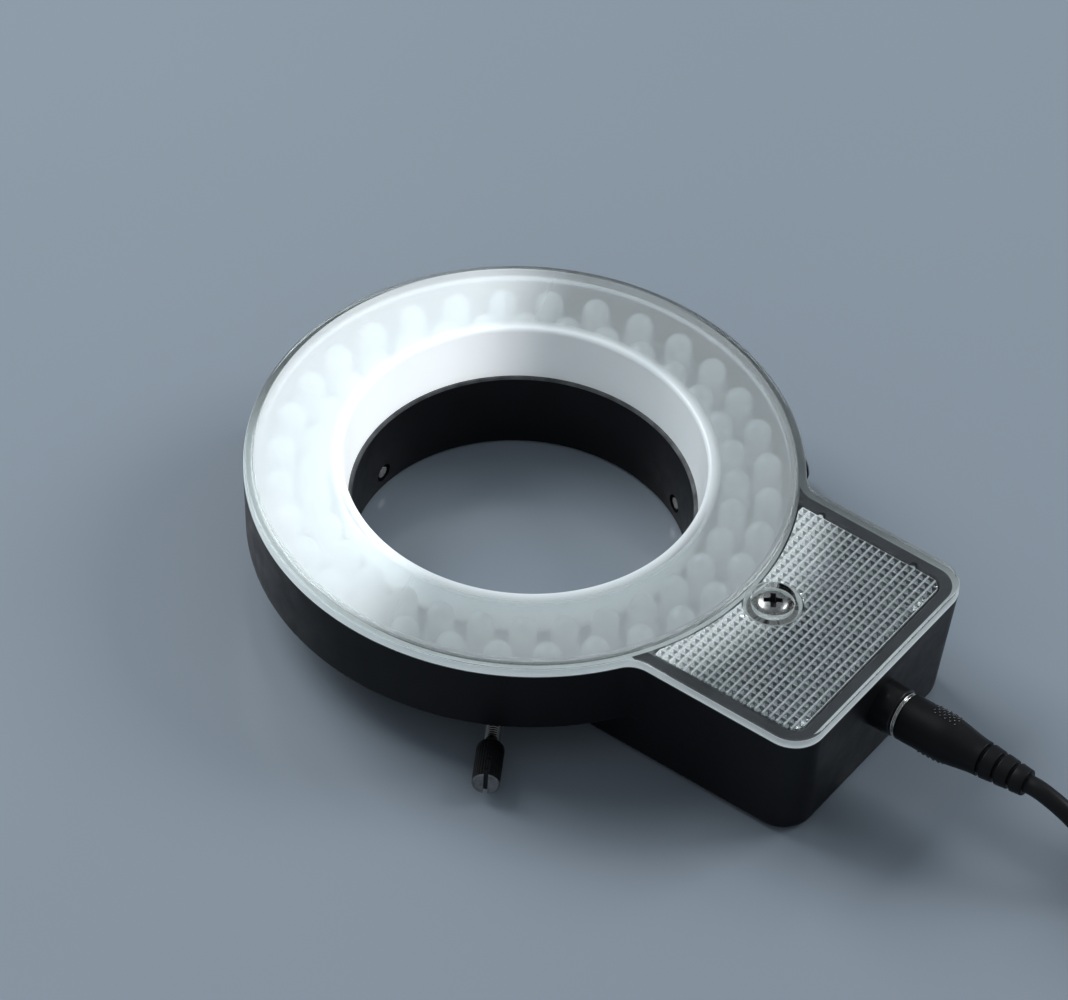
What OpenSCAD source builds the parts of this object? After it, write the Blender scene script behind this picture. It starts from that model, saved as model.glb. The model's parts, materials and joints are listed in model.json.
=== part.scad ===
// Microscope ring light with three clamping thumbscrews, a side box for the driver and a low-voltage lead.
// It lies on its foot with the lamps facing up. The origin is on the axis of the clamping bore, at the foot.
// +Z is the way the light shines and +X points to the box. Lengths are in millimetres and angles in degrees.

/* [Ring] */
// Outer diameter of the ring at the cover
ring_d = 100; // [94:1:112]
// Diameter of the bore that goes over the microscope's tube
bore_d = 61; // [56:0.5:64]
// Height of the housing from the foot to the joint with the cover
body_h = 24.2; // [22:0.2:30]
// Height of the ring's outer wall
ring_h = 14.4; // [12:0.2:16]
// Thickness of the ring's outer wall at the joint
ring_wall = 2.8; // [2:0.1:3.4]
// Thickness of the ring's floor
ring_floor = 2; // [1.4:0.1:3]
// Slope of the ring's outer wall
ring_draft = 3; // [1:0.25:4]
// Rounding of the ring's lower edge
ring_edge_r = 1.2; // [0.6:0.1:1.8]
// Thickness of the wall round the bore
bore_wall = 2.5; // [1.8:0.1:3]
// Height of the wall round the bore, where the cover's skirt stands
bore_wall_h = 16.6; // [15:0.1:18]
// Chamfer at the mouth of the bore
bore_chamfer = 0.6; // [0.3:0.1:0.8]
// Thickness of the collar that carries the thumbscrews
collar_wall = 6; // [5:0.2:7]

/* [Box] */
// Distance from the bore's axis to the end of the box
box_end = 78.1; // [74:0.1:90]
// Width of the box at the joint
box_w = 52.6; // [48:0.2:58]
// Thickness of the box's wall at the joint
box_wall = 3.4; // [3:0.1:4]
// Thickness of the box's floor
box_floor = 2.4; // [2:0.1:3.2]
// Slope of the box's walls
box_draft = 4.2; // [2:0.2:4.6]
// Radius of the box's outer corners in plan
corner_r = 6; // [4:0.5:9]
// Radius of the hollow corners between box and ring
fillet_r = 5; // [3:0.5:8]
// Rounding of the box's lower edge
foot_r = 1.8; // [1:0.1:2.2]

/* [Cover] */
// Thickness of the cover's flange
flange_t = 2.1; // [1.6:0.1:2.6]
// Height of the frosted ring above the flange
rise = 0.8; // [0.4:0.1:1.4]
// Width of the flange outside the frosted ring
flange_edge = 1.9; // [1.4:0.1:2.6]
// Thickness of the frosted ring
frost_t = 1.9; // [1.5:0.1:2.4]
// Thickness of the skirt that lines the bore
skirt_t = 1.6; // [1.2:0.1:1.8]
// Step from the bore's wall out to the foot of the skirt
skirt_step = 0.75; // [0.4:0.05:0.9]
// How far the skirt leans outwards from foot to top
skirt_lean = 1.15; // [0.6:0.05:1.6]
// Pitch of the prisms in the window over the box
prism_pitch = 1.5; // [1.5:0.1:2.5]
// Depth of the prisms
prism_depth = 0.75; // [0.5:0.05:1]
// Distance from the bore's axis to the screw that holds the cover
cover_screw_x = 53.6; // [53:0.1:56]
// Diameter of the recess round the screw's head
recess_d = 8; // [7:0.1:9]

/* [Lamps] */
// Distance between a lamp and its nearest neighbours
lamp_spacing = 7.2; // [6.4:0.1:9]
// Diameter of a lamp
lamp_d = 5; // [4:0.1:5]
// Height of a lamp
lamp_h = 8.6; // [6:0.1:8.6]
// Angle of the first lamp in the outer row
lamp_phase = 7.5; // [0:0.25:11]
// Thickness of the lamp board
lamp_board_t = 1.6; // [1:0.2:2]

/* [Thumbscrews] */
// Number of thumbscrews round the collar is three, at these angles
clamp_angles = [60, 180, 300];
// Height of the thumbscrews above the foot
clamp_z = 4; // [3.2:0.1:5]
// Diameter of the screw's thread
stud_d = 3; // [2.5:0.5:4]
// Diameter of the knurled head
knob_d = 5; // [4.6:0.1:6]
// Length of the knurled head
knob_l = 9.2; // [7:0.1:12]
// Distance from the collar to the head when the screw's tip is just below the bore's wall
knob_reach = 10.8; // [10.4:0.1:13]
// Depth of the tip below the bore's wall then
tip_depth = 0.2; // [0.2:0.1:1]
// How far each screw is turned out beyond that
turned_out = [0, 0, 0.9];

/* [Power inlet] */
// Height of the inlet's axis above the foot
inlet_z = 15.7; // [14.6:0.1:16.2]
// Diameter of the inlet's round nose
nose_d = 9; // [8:0.1:9.6]
// Length of the nose outside the box
nose_out = 3.7; // [2:0.1:6]
// Outer diameter of the plug's barrel
barrel_d = 5.5; // [5:0.1:5.5]
// Diameter of the inlet's pin
inlet_pin_d = 2; // [1.6:0.1:2.1]

/* [Plug and cord] */
// Diameter of the plug's grip at its front
grip_d = 8.7; // [8:0.1:9.5]
// Length of the plug's smooth grip
grip_l = 16.4; // [12:0.1:20]
// Number of ribs on the plug's strain relief
relief_ribs = 3; // [2:1:5]
// Diameter of the cord
cord_d = 3.5; // [3:0.1:3.5]

/* [Power adapter] */
// Length of the adapter's case
case_l = 56; // [48:1:70]
// Width of the adapter's case
case_w = 34; // [30:1:44]
// Distance between the mains pins
pin_pitch = 19; // [19:0.5:22]
// Diameter of a mains pin
pin_d = 4; // [4:0.1:5]
// Length of a mains pin
pin_l = 19; // [15:0.5:20]

/* [Hidden] */
$fn = 96;

// Clearances
running_gap = 0.05;
seat_gap = 0.02;
loose_gap = 0.3;
// How far a cut or a joined solid runs past the face that it meets
past = 1;

// Ring and collar
ring_r = ring_d / 2;
bore_r = bore_d / 2;
ring_under_z = body_h - ring_h;
trough_z = ring_under_z + ring_floor;
trough_in_r = bore_r + bore_wall;
trough_out_r = ring_r - ring_wall;
collar_r = bore_r + collar_wall;
// The ring's underside falls this much from its edge to the collar
underside_fall = 0.2;

// Box
box_hw = box_w / 2;
cavity_hw = box_hw - box_wall;
cavity_end = box_end - box_wall;
cavity_start = collar_r + box_floor;
cavity_corner_r = corner_r - box_wall;

// Cover
cover_z = body_h + flange_t;
frost_z = cover_z + rise;
frost_under_z = frost_z - frost_t;
frost_out_r = ring_r - flange_edge;
shoulder_out_r = frost_out_r + rise;
skirt_foot_r = bore_r + skirt_step;
skirt_top_r = skirt_foot_r + skirt_lean;
recess_floor_t = 1.6;
recess_z = body_h - 0.2;
boss_r = recess_d / 2 + 1.2;
boss_z = recess_z - recess_floor_t;
cover_screw_d = 3;
screw_head_d = 5.6;
screw_head_h = 2.1;
cover_screw_l = 12;
cross_w = 1;
cross_l = 3.2;
cross_depth = 1.2;

// Prism panel under the window
panel_t = 0.4;
panel_hw = cavity_hw - loose_gap;
panel_end = cavity_end - loose_gap;
panel_corner_r = cavity_corner_r - loose_gap;
panel_in_r = shoulder_out_r + loose_gap;
panel_start = sqrt(panel_in_r * panel_in_r - panel_hw * panel_hw);
panel_rows = floor((panel_end - panel_start) / prism_pitch);
panel_columns = floor(2 * panel_hw / prism_pitch);
// Half-round nibs on the panel's far edge stand in notches of the wall
nib_r = 0.5;
nib_xs = [panel_start + 4.5, panel_end - 6.5];
notch_depth = 1.4;

// Lamps
board_rest_h = 2.5;
lamp_board_z = trough_z + board_rest_h;
lamp_z = lamp_board_z + lamp_board_t;
board_edge_gap = 0.4;
lamp_board_in_r = trough_in_r + board_edge_gap;
lamp_board_out_r = trough_out_r - board_edge_gap;
lamp_rim_d = lamp_d + 0.8;
lamp_rim_h = 1;
lamp_edge_gap = 0.3;
lamp_skirt_gap = 0.7;
outer_row_r = lamp_board_out_r - lamp_rim_d / 2 - lamp_edge_gap;
inner_row_r = skirt_top_r + skirt_t + lamp_rim_d / 2 + lamp_skirt_gap;
// The rows are staggered, so the spacing across them, or along the inner one, settles how many lamps a row has
row_gap = outer_row_r - inner_row_r;
tangent_gap = sqrt(max(0, lamp_spacing * lamp_spacing - row_gap * row_gap));
across_pitch = 2 * asin(tangent_gap / (2 * sqrt(outer_row_r * inner_row_r)));
along_pitch = asin(lamp_spacing / (2 * inner_row_r));
half_pitch = max(across_pitch, along_pitch);
lamps_per_row = round(180 / half_pitch);
lamp_pitch = 360 / lamps_per_row;
rest_r = 1.5;
rest_angles = [35, 80, 130, 180, 230, 280, 325];
rest_circle_r = (lamp_board_in_r + lamp_board_out_r) / 2;
resistor_count = 16;
resistor_size = [2, 1.25, 0.6];
resistor_inset = 0.6;
resistor_circle_r = lamp_board_in_r + resistor_inset + resistor_size[0] / 2;

// Driver board
standoff_h = 5.2;
standoff_r = 3;
driver_board_t = 1.6;
driver_gap = 1.2;
driver_board_z = box_floor + standoff_h;
driver_top_z = driver_board_z + driver_board_t;
driver_start = cavity_start + driver_gap;
driver_end = cavity_end - driver_gap;
driver_hw = cavity_hw - driver_gap;
standoff_inset = standoff_r + 0.4;
standoff_xs = [driver_start + standoff_inset, driver_end - standoff_inset];
standoff_ys = [-driver_hw + standoff_inset, driver_hw - standoff_inset];
board_screw_d = 2.5;
board_screw_l = 6;
board_screw_head = [4.4, 1.6];
post_r = boss_r - 0.6;
post_hole_depth = 11;
chip_size = [4, 5, 1.6];
chip_pos = [driver_start + 6, 0];
capacitor_d = 8;
capacitor_h = 11;
coil_core_d = 8;
coil_core_h = 6;
// The two tall components stand either side of the post
component_inset = 5;
component_x = cover_screw_x + 3;
component_y = driver_hw - component_inset - capacitor_d / 2;
wire_d = 1.3;
wire_y = 6;
wire_x = (driver_start + lamp_board_out_r) / 2;

// Thumbscrews
knob_start = collar_r + knob_reach;
knob_bore_l = 5;
knob_shoulder = 0.9;
knob_chamfer = 0.25;
slot_w = 0.8;
slot_depth = 1.2;
stud_tip_r = bore_r + tip_depth;
stud_end = knob_start + knob_bore_l - loose_gap;
stud_hole_d = stud_d + 2 * running_gap;
insert_d = stud_d + 1.4;
insert_l = 4;
insert_start = collar_r - 0.4 - insert_l;
// The plain part of the hole lets the thread pass freely
pass_d = stud_d + 2 * loose_gap;

// Inlet
inlet_w = 9.4;
inlet_top = 5;
nose_end = box_end + nose_out;
inlet_back = 12.4;
inlet_body_end = cavity_end - 0.2;
inlet_body_start = inlet_body_end - inlet_back;
socket_d = barrel_d + 0.8;
socket_end = inlet_body_start + 8;
pin_tip = nose_end - 1.6;
spring_size = [6, 1.2, 0.25];

// Plug
plug_gap = 0.1;
plug_start = nose_end + plug_gap;
collar_d = 8.2;
collar_t = 0.8;
grip_start = plug_start + collar_t;
grip_end = grip_start + grip_l;
relief_start_d = 6.6;
relief_end_d = 5;
rib_pitch = 3;
rib_gap = 0.6;
rib_groove_depth = 0.7;
relief_end = grip_end + relief_ribs * rib_pitch;
barrel_l = 9.4;
barrel_t = 0.65;
barrel_start = plug_start - barrel_l;
insulator_l = 7.6;

// The cord's free stretches, as points chosen by hand; the lead droops from the plug to the coil
cord_r = cord_d / 2;
tie_t = 0.7;
coil_x = 150;
coil_layers = 4;
layer_turns = 3;
coil_mean_r = 19.2;
coil_step = 4.2;
coil_out_r = coil_mean_r + layer_turns * coil_step / 2;
coil_in_r = coil_mean_r - layer_turns * coil_step / 2;
coil_y = coil_out_r;
coil_z = tie_t + loose_gap + cord_r;
coil_top_z = coil_z + (coil_layers - 1) * coil_step;
lead_drop = [
  [2, 0], [4.5, 0.5], [7, 1.3], [9.5, 2.4], [12, 3.8], [14.5, 5.4], [17, 7], [19.5, 8.5],
  [22, 9.8], [24.5, 10.9], [27, 11.8], [29.5, 12.4], [32, 12.7], [34.5, 12.9]
];
lead_route = concat(
  [[relief_end, 0, inlet_z]],
  [for (p = lead_drop) [relief_end + p[0], 0, inlet_z - p[1]]],
  [[coil_x - cord_d - 1.5, 0, coil_z], [coil_x - cord_d, 0, coil_z]]
);
adapter_relief_start = 174;
case_h = 28;
adapter_z = case_h / 2;
tail_route = [
  [coil_x + cord_d, 0, coil_top_z], [156, 0, coil_top_z], [159, 0, coil_top_z - 0.2],
  [162, 0, coil_top_z - 0.5], [165, 0, adapter_z + 0.4], [168, 0, adapter_z + 0.1],
  [171, 0, adapter_z], [adapter_relief_start, 0, adapter_z]
];
lead_sides = 8;
coil_sides = 6;
coil_rings = 24;
tie_w = 6;
tie_slack = 0.8;

// Adapter
adapter_relief_l = 14;
adapter_relief_d = [5, 8.5];
case_start = adapter_relief_start + adapter_relief_l;
case_r = 5;
case_edge_r = 2.5;
pin_sleeve_d = pin_d - 0.3;
pin_sleeve_l = 10;
pin_root_l = 4;

// Steps along the curves of the lofted outlines
ring_steps = 72;
fillet_steps = 6;
corner_steps = 6;
round_steps = 3;

// Points on an arc
function arc(centre, r, from, to, steps) =
  [for (i = [0:steps]) let (a = from + (to - from) * i / steps) centre + r * [cos(a), sin(a)]];

// Points on a straight line
function line(from, to, steps) = [for (i = [0:steps]) from + (to - from) * i / steps];

// Where the hollow corner between box and ring has its centre
function fillet_x(r, hw) = sqrt(pow(r + fillet_r, 2) - pow(hw + fillet_r, 2));
function fillet_angle(r, hw) = atan2(hw + fillet_r, fillet_x(r, hw));

// The two end corners of the box, from the near side to the far one
function end_corners(hw, xe, rc) = concat(
  arc([xe - rc, rc - hw], rc, -90, 0, corner_steps),
  arc([xe - rc, hw - rc], rc, 0, 90, corner_steps)
);

// Plan of a ring and the box together: ring radius, half width, end and corner radius of the box
function plan(r, hw, xe, rc) =
  let (fx = fillet_x(r, hw), fa = fillet_angle(r, hw))
  concat(
    end_corners(hw, xe, rc),
    arc([fx, hw + fillet_r], fillet_r, 270, 180 + fa, fillet_steps),
    arc([0, 0], r, fa + (360 - 2 * fa) / ring_steps, 360 - fa - (360 - 2 * fa) / ring_steps, ring_steps - 2),
    arc([fx, -hw - fillet_r], fillet_r, 180 - fa, 90, fillet_steps)
  );

// How far the sloping walls lie inside the joint's outline at a height
function ring_inset(z) = (body_h - z) * tan(ring_draft);
function box_inset(z) = (body_h - z) * tan(box_draft);
function raised(points, z) = [for (p = points) [p[0], p[1], z]];

// One level of collar and box below the ring, and one of ring and box; inset is what a rounded edge takes off
function foot_level(z, inset) =
  raised(plan(collar_r - inset, box_hw - box_inset(z) - inset, box_end - box_inset(z) - inset, corner_r - inset), z);
function ring_level(z, inset) =
  raised(plan(ring_r - ring_inset(z) - inset, box_hw - box_inset(z), box_end - box_inset(z), corner_r), z);

// A solid through levels that have as many points each, with flat ends
module loft(levels) {
  n = len(levels[0]);
  top = (len(levels) - 1) * n;
  polyhedron(
    points = [for (l = levels) each l],
    faces = concat(
      [[for (i = [0:n - 1]) i]],
      [for (k = [0:len(levels) - 2], i = [0:n - 1]) let (j = (i + 1) % n) [k * n + i, (k + 1) * n + i, (k + 1) * n + j]],
      [for (k = [0:len(levels) - 2], i = [0:n - 1]) let (j = (i + 1) % n) [k * n + i, (k + 1) * n + j, k * n + j]],
      [[for (i = [0:n - 1]) top + n - 1 - i]]
    )
  );
}

// A rectangle with round corners, from x0 to x1 and hw to each side
module rounded_rectangle(x0, x1, hw, r) {
  translate([x0, r - hw]) square([x1 - x0, 2 * (hw - r)]);
  translate([x0 + r, -hw]) square([x1 - x0 - 2 * r, 2 * hw]);
  for (x = [x0 + r, x1 - r], y = [r - hw, hw - r])
    translate([x, y]) circle(r);
}

// A solid of revolution along +X, from points of distance and radius
module turned(points) {
  rotate([0, 90, 0]) rotate_extrude() polygon([for (p = points) [p[1], p[0]]]);
}

// What follows points along +X from the bore's axis out through a thumbscrew
module at_thumbscrew(i) {
  translate([0, 0, clamp_z]) rotate(clamp_angles[i]) children();
}

module rod(from, to, d) {
  translate([from, 0, 0]) rotate([0, 90, 0]) cylinder(d = d, h = to - from);
}

// Unit vector
function unit(v) = v / norm(v);

// Direction of a route at one of its points
function heading(route, i) = unit(route[min(i + 1, len(route) - 1)] - route[max(i - 1, 0)]);

// Ring of points round a route, square to it
function tube_ring(route, i, r, sides) =
  let (t = heading(route, i), across = unit(cross(t, [0, 0, 1])), up = cross(across, t))
  [for (k = [0:sides - 1]) let (a = 360 * k / sides) route[i] + r * (cos(a) * across + sin(a) * up)];

module tube(route, r, sides) {
  loft([for (i = [0:len(route) - 1]) tube_ring(route, len(route) - 1 - i, r, sides)]);
}

// Moulded body: ring trough, box and collar in one piece
module housing_blank() {
  foot = [for (i = [0:round_steps]) let (a = 90 * i / round_steps)
    foot_level(foot_r * (1 - cos(a)), foot_r * (1 - sin(a)))];
  edge = [for (i = [0:round_steps]) let (a = 90 * i / round_steps)
    ring_level(ring_under_z + ring_edge_r * (1 - cos(a)), ring_edge_r * (1 - sin(a)))];
  loft(concat(foot, [foot_level(ring_under_z - underside_fall, 0)], edge, [ring_level(body_h, 0)]));
}

module housing_hollow() {
  // Bore with its chamfered mouth
  translate([0, 0, -past]) cylinder(r = bore_r, h = body_h + 2 * past);
  translate([0, 0, -seat_gap]) cylinder(r1 = bore_r + bore_chamfer + seat_gap, r2 = bore_r, h = bore_chamfer + seat_gap);
  // Trough for the lamps, open to the bore above its wall
  rotate_extrude() polygon([
    [trough_in_r, trough_z], [trough_out_r, trough_z], [trough_out_r, body_h + past],
    [0, body_h + past], [0, bore_wall_h], [trough_in_r, bore_wall_h]
  ]);
  // Space for the driver
  translate([0, 0, box_floor]) linear_extrude(body_h + past - box_floor)
    rounded_rectangle(cavity_start, cavity_end, cavity_hw, cavity_corner_r);
  // Notches for the panel's nibs
  for (x = nib_xs)
    translate([x, cavity_hw, body_h - notch_depth]) cylinder(r = nib_r + loose_gap, h = notch_depth + past);
  // Hole for the inlet's nose
  translate([0, 0, inlet_z]) rod(cavity_end - past, box_end + past, nose_d + 2 * running_gap);
  // Thumbscrew holes with their seats for the inserts
  for (i = [0:2]) at_thumbscrew(i) {
    rod(bore_r - past, collar_r, pass_d);
    rod(insert_start, collar_r + past, insert_d + 2 * seat_gap);
  }
}

module post(r, hole_d, from, to, hole_depth) {
  difference() {
    translate([0, 0, from]) cylinder(r = r, h = to - from);
    translate([0, 0, to - hole_depth]) cylinder(d = hole_d, h = hole_depth + past);
  }
}

module housing() {
  color([0.06, 0.06, 0.065]) {
    difference() {
      housing_blank();
      housing_hollow();
    }
    // Rests under the lamp board
    for (a = rest_angles)
      rotate(a) translate([rest_circle_r, 0, trough_z - past]) cylinder(r = rest_r, h = board_rest_h + past);
    // Posts for the driver board and for the cover's screw
    for (x = standoff_xs, y = standoff_ys)
      translate([x, y, 0])
        post(standoff_r, board_screw_d + 2 * running_gap, box_floor - past, driver_board_z, board_screw_l);
    translate([cover_screw_x, 0, 0])
      post(post_r, cover_screw_d + 2 * running_gap, box_floor - past, boss_z, post_hole_depth);
  }
}

// Section of the frosted ring with its shoulders and the skirt inside it
function cover_section() = concat(
  [[trough_out_r, body_h], [shoulder_out_r, body_h]],
  arc([shoulder_out_r, frost_z], rise, 270, 180, corner_steps),
  arc([skirt_top_r + rise, frost_z - rise], rise, 90, 180, corner_steps),
  [
    [skirt_foot_r, bore_wall_h], [skirt_foot_r + skirt_t, bore_wall_h],
    [skirt_top_r + skirt_t, frost_under_z], [trough_out_r, frost_under_z]
  ]
);

// Clear one-piece cover: flange over ring and box, frosted ring, and skirt into the bore
module cover() {
  color([0.8, 0.84, 0.86, 0.55]) difference() {
    union() {
      translate([0, 0, body_h]) linear_extrude(flange_t) difference() {
        polygon(plan(ring_r, box_hw, box_end, corner_r));
        circle(r = (trough_out_r + shoulder_out_r) / 2);
      }
      rotate_extrude() polygon(cover_section());
      translate([cover_screw_x, 0, boss_z]) cylinder(r = boss_r, h = body_h - boss_z + flange_t / 2);
    }
    translate([cover_screw_x, 0, recess_z]) cylinder(d = recess_d, h = cover_z - recess_z + past);
    translate([cover_screw_x, 0, boss_z - past]) cylinder(d = cover_screw_d + loose_gap, h = recess_floor_t + 2 * past);
  }
}

// Number of a point in the prism panel's grid
function grid(i, j) = i * (panel_columns + 1) + j;

// Flat plate whose underside is a field of square pyramids
module prism_field() {
  x0 = panel_end - panel_rows * prism_pitch;
  y0 = -panel_columns * prism_pitch / 2;
  count = (panel_rows + 1) * (panel_columns + 1);
  under = [for (i = [0:panel_rows], j = [0:panel_columns]) [x0 + i * prism_pitch, y0 + j * prism_pitch, -panel_t]];
  tips = [for (i = [0:panel_rows - 1], j = [0:panel_columns - 1])
    [x0 + (i + 0.5) * prism_pitch, y0 + (j + 0.5) * prism_pitch, -panel_t - prism_depth]];
  top = [for (p = [[0, 0], [1, 0], [1, 1], [0, 1]])
    [x0 + p[0] * panel_rows * prism_pitch, y0 + p[1] * panel_columns * prism_pitch, 0]];
  pyramids = [for (i = [0:panel_rows - 1], j = [0:panel_columns - 1])
    let (tip = count + i * panel_columns + j, q = [grid(i, j), grid(i + 1, j), grid(i + 1, j + 1), grid(i, j + 1)])
    each [for (k = [0:3]) [q[k], q[(k + 1) % 4], tip]]];
  t = count + len(tips);
  low = [for (i = [0:panel_rows]) grid(i, 0)];
  high = [for (i = [0:panel_rows]) grid(panel_rows - i, panel_columns)];
  near = [for (j = [0:panel_columns]) grid(0, panel_columns - j)];
  far = [for (j = [0:panel_columns]) grid(panel_rows, j)];
  walls = [
    [t, t + 3, t + 2, t + 1],
    concat([t + 1], [for (i = [0:panel_rows]) low[panel_rows - i]], [t]),
    concat([t + 3], [for (i = [0:panel_rows]) high[panel_rows - i]], [t + 2]),
    concat([t], [for (j = [0:panel_columns]) near[panel_columns - j]], [t + 3]),
    concat([t + 2], [for (j = [0:panel_columns]) far[panel_columns - j]], [t + 1])
  ];
  polyhedron(points = concat(under, tips, top), faces = concat(pyramids, walls));
}

// Prismatic panel that hangs under the cover's window
module prism_panel() {
  color([0.72, 0.78, 0.8, 0.6]) translate([0, 0, body_h]) difference() {
    union() {
      intersection() {
        prism_field();
        translate([0, 0, -past - prism_depth]) linear_extrude(3 * past)
          rounded_rectangle(0, panel_end, panel_hw, panel_corner_r);
      }
      for (x = nib_xs) translate([x, panel_columns * prism_pitch / 2, -panel_t]) cylinder(r = nib_r, h = panel_t);
    }
    translate([0, 0, -past - prism_depth]) cylinder(r = panel_in_r, h = 3 * past);
    translate([cover_screw_x, 0, -past - prism_depth]) cylinder(r = boss_r + loose_gap, h = 3 * past);
  }
}

// Pan-head screw with a cross recess
module cover_screw() {
  dome = 0.7;
  color([0.74, 0.74, 0.72]) translate([cover_screw_x, 0, recess_z]) difference() {
    union() {
      rotate_extrude() polygon(concat(
        [[0, 0], [screw_head_d / 2, 0]],
        [for (i = [0:corner_steps]) let (a = 90 * i / corner_steps)
          [screw_head_d / 2 * cos(a), screw_head_h - dome + dome * sin(a)]]
      ));
      translate([0, 0, -cover_screw_l]) cylinder(d = cover_screw_d, h = cover_screw_l + dome);
    }
    for (a = [35, 125])
      rotate(a) translate([-cross_l / 2, -cross_w / 2, screw_head_h - cross_depth])
        cube([cross_l, cross_w, cross_depth + past]);
  }
}

module lamp_board() {
  color([0.07, 0.12, 0.1]) translate([0, 0, lamp_board_z]) difference() {
    cylinder(r = lamp_board_out_r, h = lamp_board_t);
    translate([0, 0, -past]) cylinder(r = lamp_board_in_r, h = lamp_board_t + 2 * past);
  }
}

// Domed lamp with a rim at its base
module lamp() {
  r = lamp_d / 2;
  rotate_extrude($fn = 32) polygon(concat(
    [[0, 0], [lamp_rim_d / 2, 0], [lamp_rim_d / 2, lamp_rim_h], [r, lamp_rim_h]],
    arc([0, lamp_h - r], r, 0, 90, corner_steps)
  ));
}

module lamp_row(row_r, phase) {
  color([0.9, 0.93, 0.95]) for (i = [0:lamps_per_row - 1])
    rotate(phase + i * lamp_pitch) translate([row_r, 0, lamp_z]) lamp();
}

module outer_lamps() {
  lamp_row(outer_row_r, lamp_phase);
}

module inner_lamps() {
  lamp_row(inner_row_r, lamp_phase + lamp_pitch / 2);
}

// Chip resistors under the lamp board
module lamp_resistors() {
  color([0.1, 0.1, 0.1]) for (i = [0:resistor_count - 1])
    rotate((i + 0.5) * 360 / resistor_count)
      translate([resistor_circle_r, 0, lamp_board_z - resistor_size[2] / 2]) cube(resistor_size, center = true);
}

module driver_board() {
  color([0.08, 0.3, 0.16]) translate([0, 0, driver_board_z]) difference() {
    translate([driver_start, -driver_hw, 0]) cube([driver_end - driver_start, 2 * driver_hw, driver_board_t]);
    translate([cover_screw_x, 0, -past]) cylinder(r = post_r + loose_gap, h = driver_board_t + 2 * past);
    for (x = standoff_xs, y = standoff_ys)
      translate([x, y, -past]) cylinder(d = board_screw_d + loose_gap, h = driver_board_t + 2 * past);
  }
}

module driver_board_screws() {
  color([0.7, 0.7, 0.7]) for (x = standoff_xs, y = standoff_ys)
    translate([x, y, driver_top_z]) {
      cylinder(d = board_screw_head[0], h = board_screw_head[1]);
      translate([0, 0, -board_screw_l]) cylinder(d = board_screw_d, h = board_screw_l + board_screw_head[1] / 2);
    }
}

module driver_chip() {
  color([0.05, 0.05, 0.05]) translate([chip_pos[0], chip_pos[1], driver_top_z + chip_size[2] / 2])
    cube(chip_size, center = true);
}

module filter_capacitor() {
  groove = 0.4;
  color([0.12, 0.14, 0.2]) translate([component_x, component_y, driver_top_z]) difference() {
    cylinder(d = capacitor_d, h = capacitor_h);
    translate([0, 0, 1.5]) rotate_extrude() translate([capacitor_d / 2, 0]) circle(r = groove, $fn = 16);
  }
}

// Drum-core inductor
module driver_coil() {
  flange = 1.2;
  r = coil_core_d / 2;
  color([0.3, 0.18, 0.1]) translate([component_x, -component_y, driver_top_z]) rotate_extrude() polygon([
    [0, 0], [r, 0], [r, flange], [r * 0.75, flange], [r * 0.75, coil_core_h - flange],
    [r, coil_core_h - flange], [r, coil_core_h], [0, coil_core_h]
  ]);
}

// Wires from the driver board up to the lamp board
module lamp_wire(y) {
  translate([wire_x, y, driver_top_z]) cylinder(d = wire_d, h = lamp_board_z - driver_top_z);
}

module red_lamp_wire() {
  color([0.7, 0.08, 0.06]) lamp_wire(wire_y);
}

module black_lamp_wire() {
  color([0.04, 0.04, 0.04]) lamp_wire(-wire_y);
}

// Socket for the plug, with a square body on the driver board and a round nose through the wall
module inlet_body() {
  color([0.05, 0.05, 0.05]) difference() {
    union() {
      translate([inlet_body_start, -inlet_w / 2, driver_top_z])
        cube([inlet_back, inlet_w, inlet_z + inlet_top - driver_top_z]);
      translate([0, 0, inlet_z]) rod(inlet_body_end - past, nose_end, nose_d);
    }
    translate([0, 0, inlet_z]) rod(socket_end, nose_end + past, socket_d);
  }
}

module inlet_pin() {
  color([0.8, 0.78, 0.7]) translate([0, 0, inlet_z]) {
    rod(socket_end, pin_tip - inlet_pin_d / 2, inlet_pin_d);
    translate([pin_tip - inlet_pin_d / 2, 0, 0]) sphere(d = inlet_pin_d);
  }
}

// Leaf that touches the barrel from above
module inlet_spring() {
  color([0.8, 0.78, 0.7])
    translate([socket_end, -spring_size[1] / 2, inlet_z + barrel_d / 2 + running_gap]) cube(spring_size);
}

module thread_inserts() {
  color([0.8, 0.62, 0.25]) for (i = [0:2]) at_thumbscrew(i) difference() {
    rod(insert_start, insert_start + insert_l, insert_d);
    rod(insert_start - past, insert_start + insert_l + past, stud_hole_d);
  }
}

// Threaded stud of a thumbscrew, with a chamfered tip
module clamp_stud(i) {
  tip = 0.4;
  color([0.72, 0.71, 0.68]) at_thumbscrew(i) translate([turned_out[i], 0, 0]) turned([
    [stud_tip_r, 0], [stud_tip_r, stud_d / 2 - tip], [stud_tip_r + tip, stud_d / 2],
    [stud_end, stud_d / 2], [stud_end, 0]
  ]);
}

// Knurled head of a thumbscrew, with a screwdriver slot across its end
module clamp_knob(i) {
  r = knob_d / 2;
  end = knob_start + knob_l;
  color([0.05, 0.05, 0.055]) at_thumbscrew(i) translate([turned_out[i], 0, 0]) difference() {
    turned(concat(
      [[knob_start, stud_hole_d / 2]],
      arc([knob_start + knob_shoulder, r - knob_shoulder], knob_shoulder, 180, 90, corner_steps),
      [[end - knob_chamfer, r], [end, r - knob_chamfer], [end, 0],
       [knob_start + knob_bore_l, 0], [knob_start + knob_bore_l, stud_hole_d / 2]]
    ));
    translate([end - slot_depth, -slot_w / 2, -r - past]) cube([slot_depth + past, slot_w, 2 * (r + past)]);
  }
}

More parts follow.
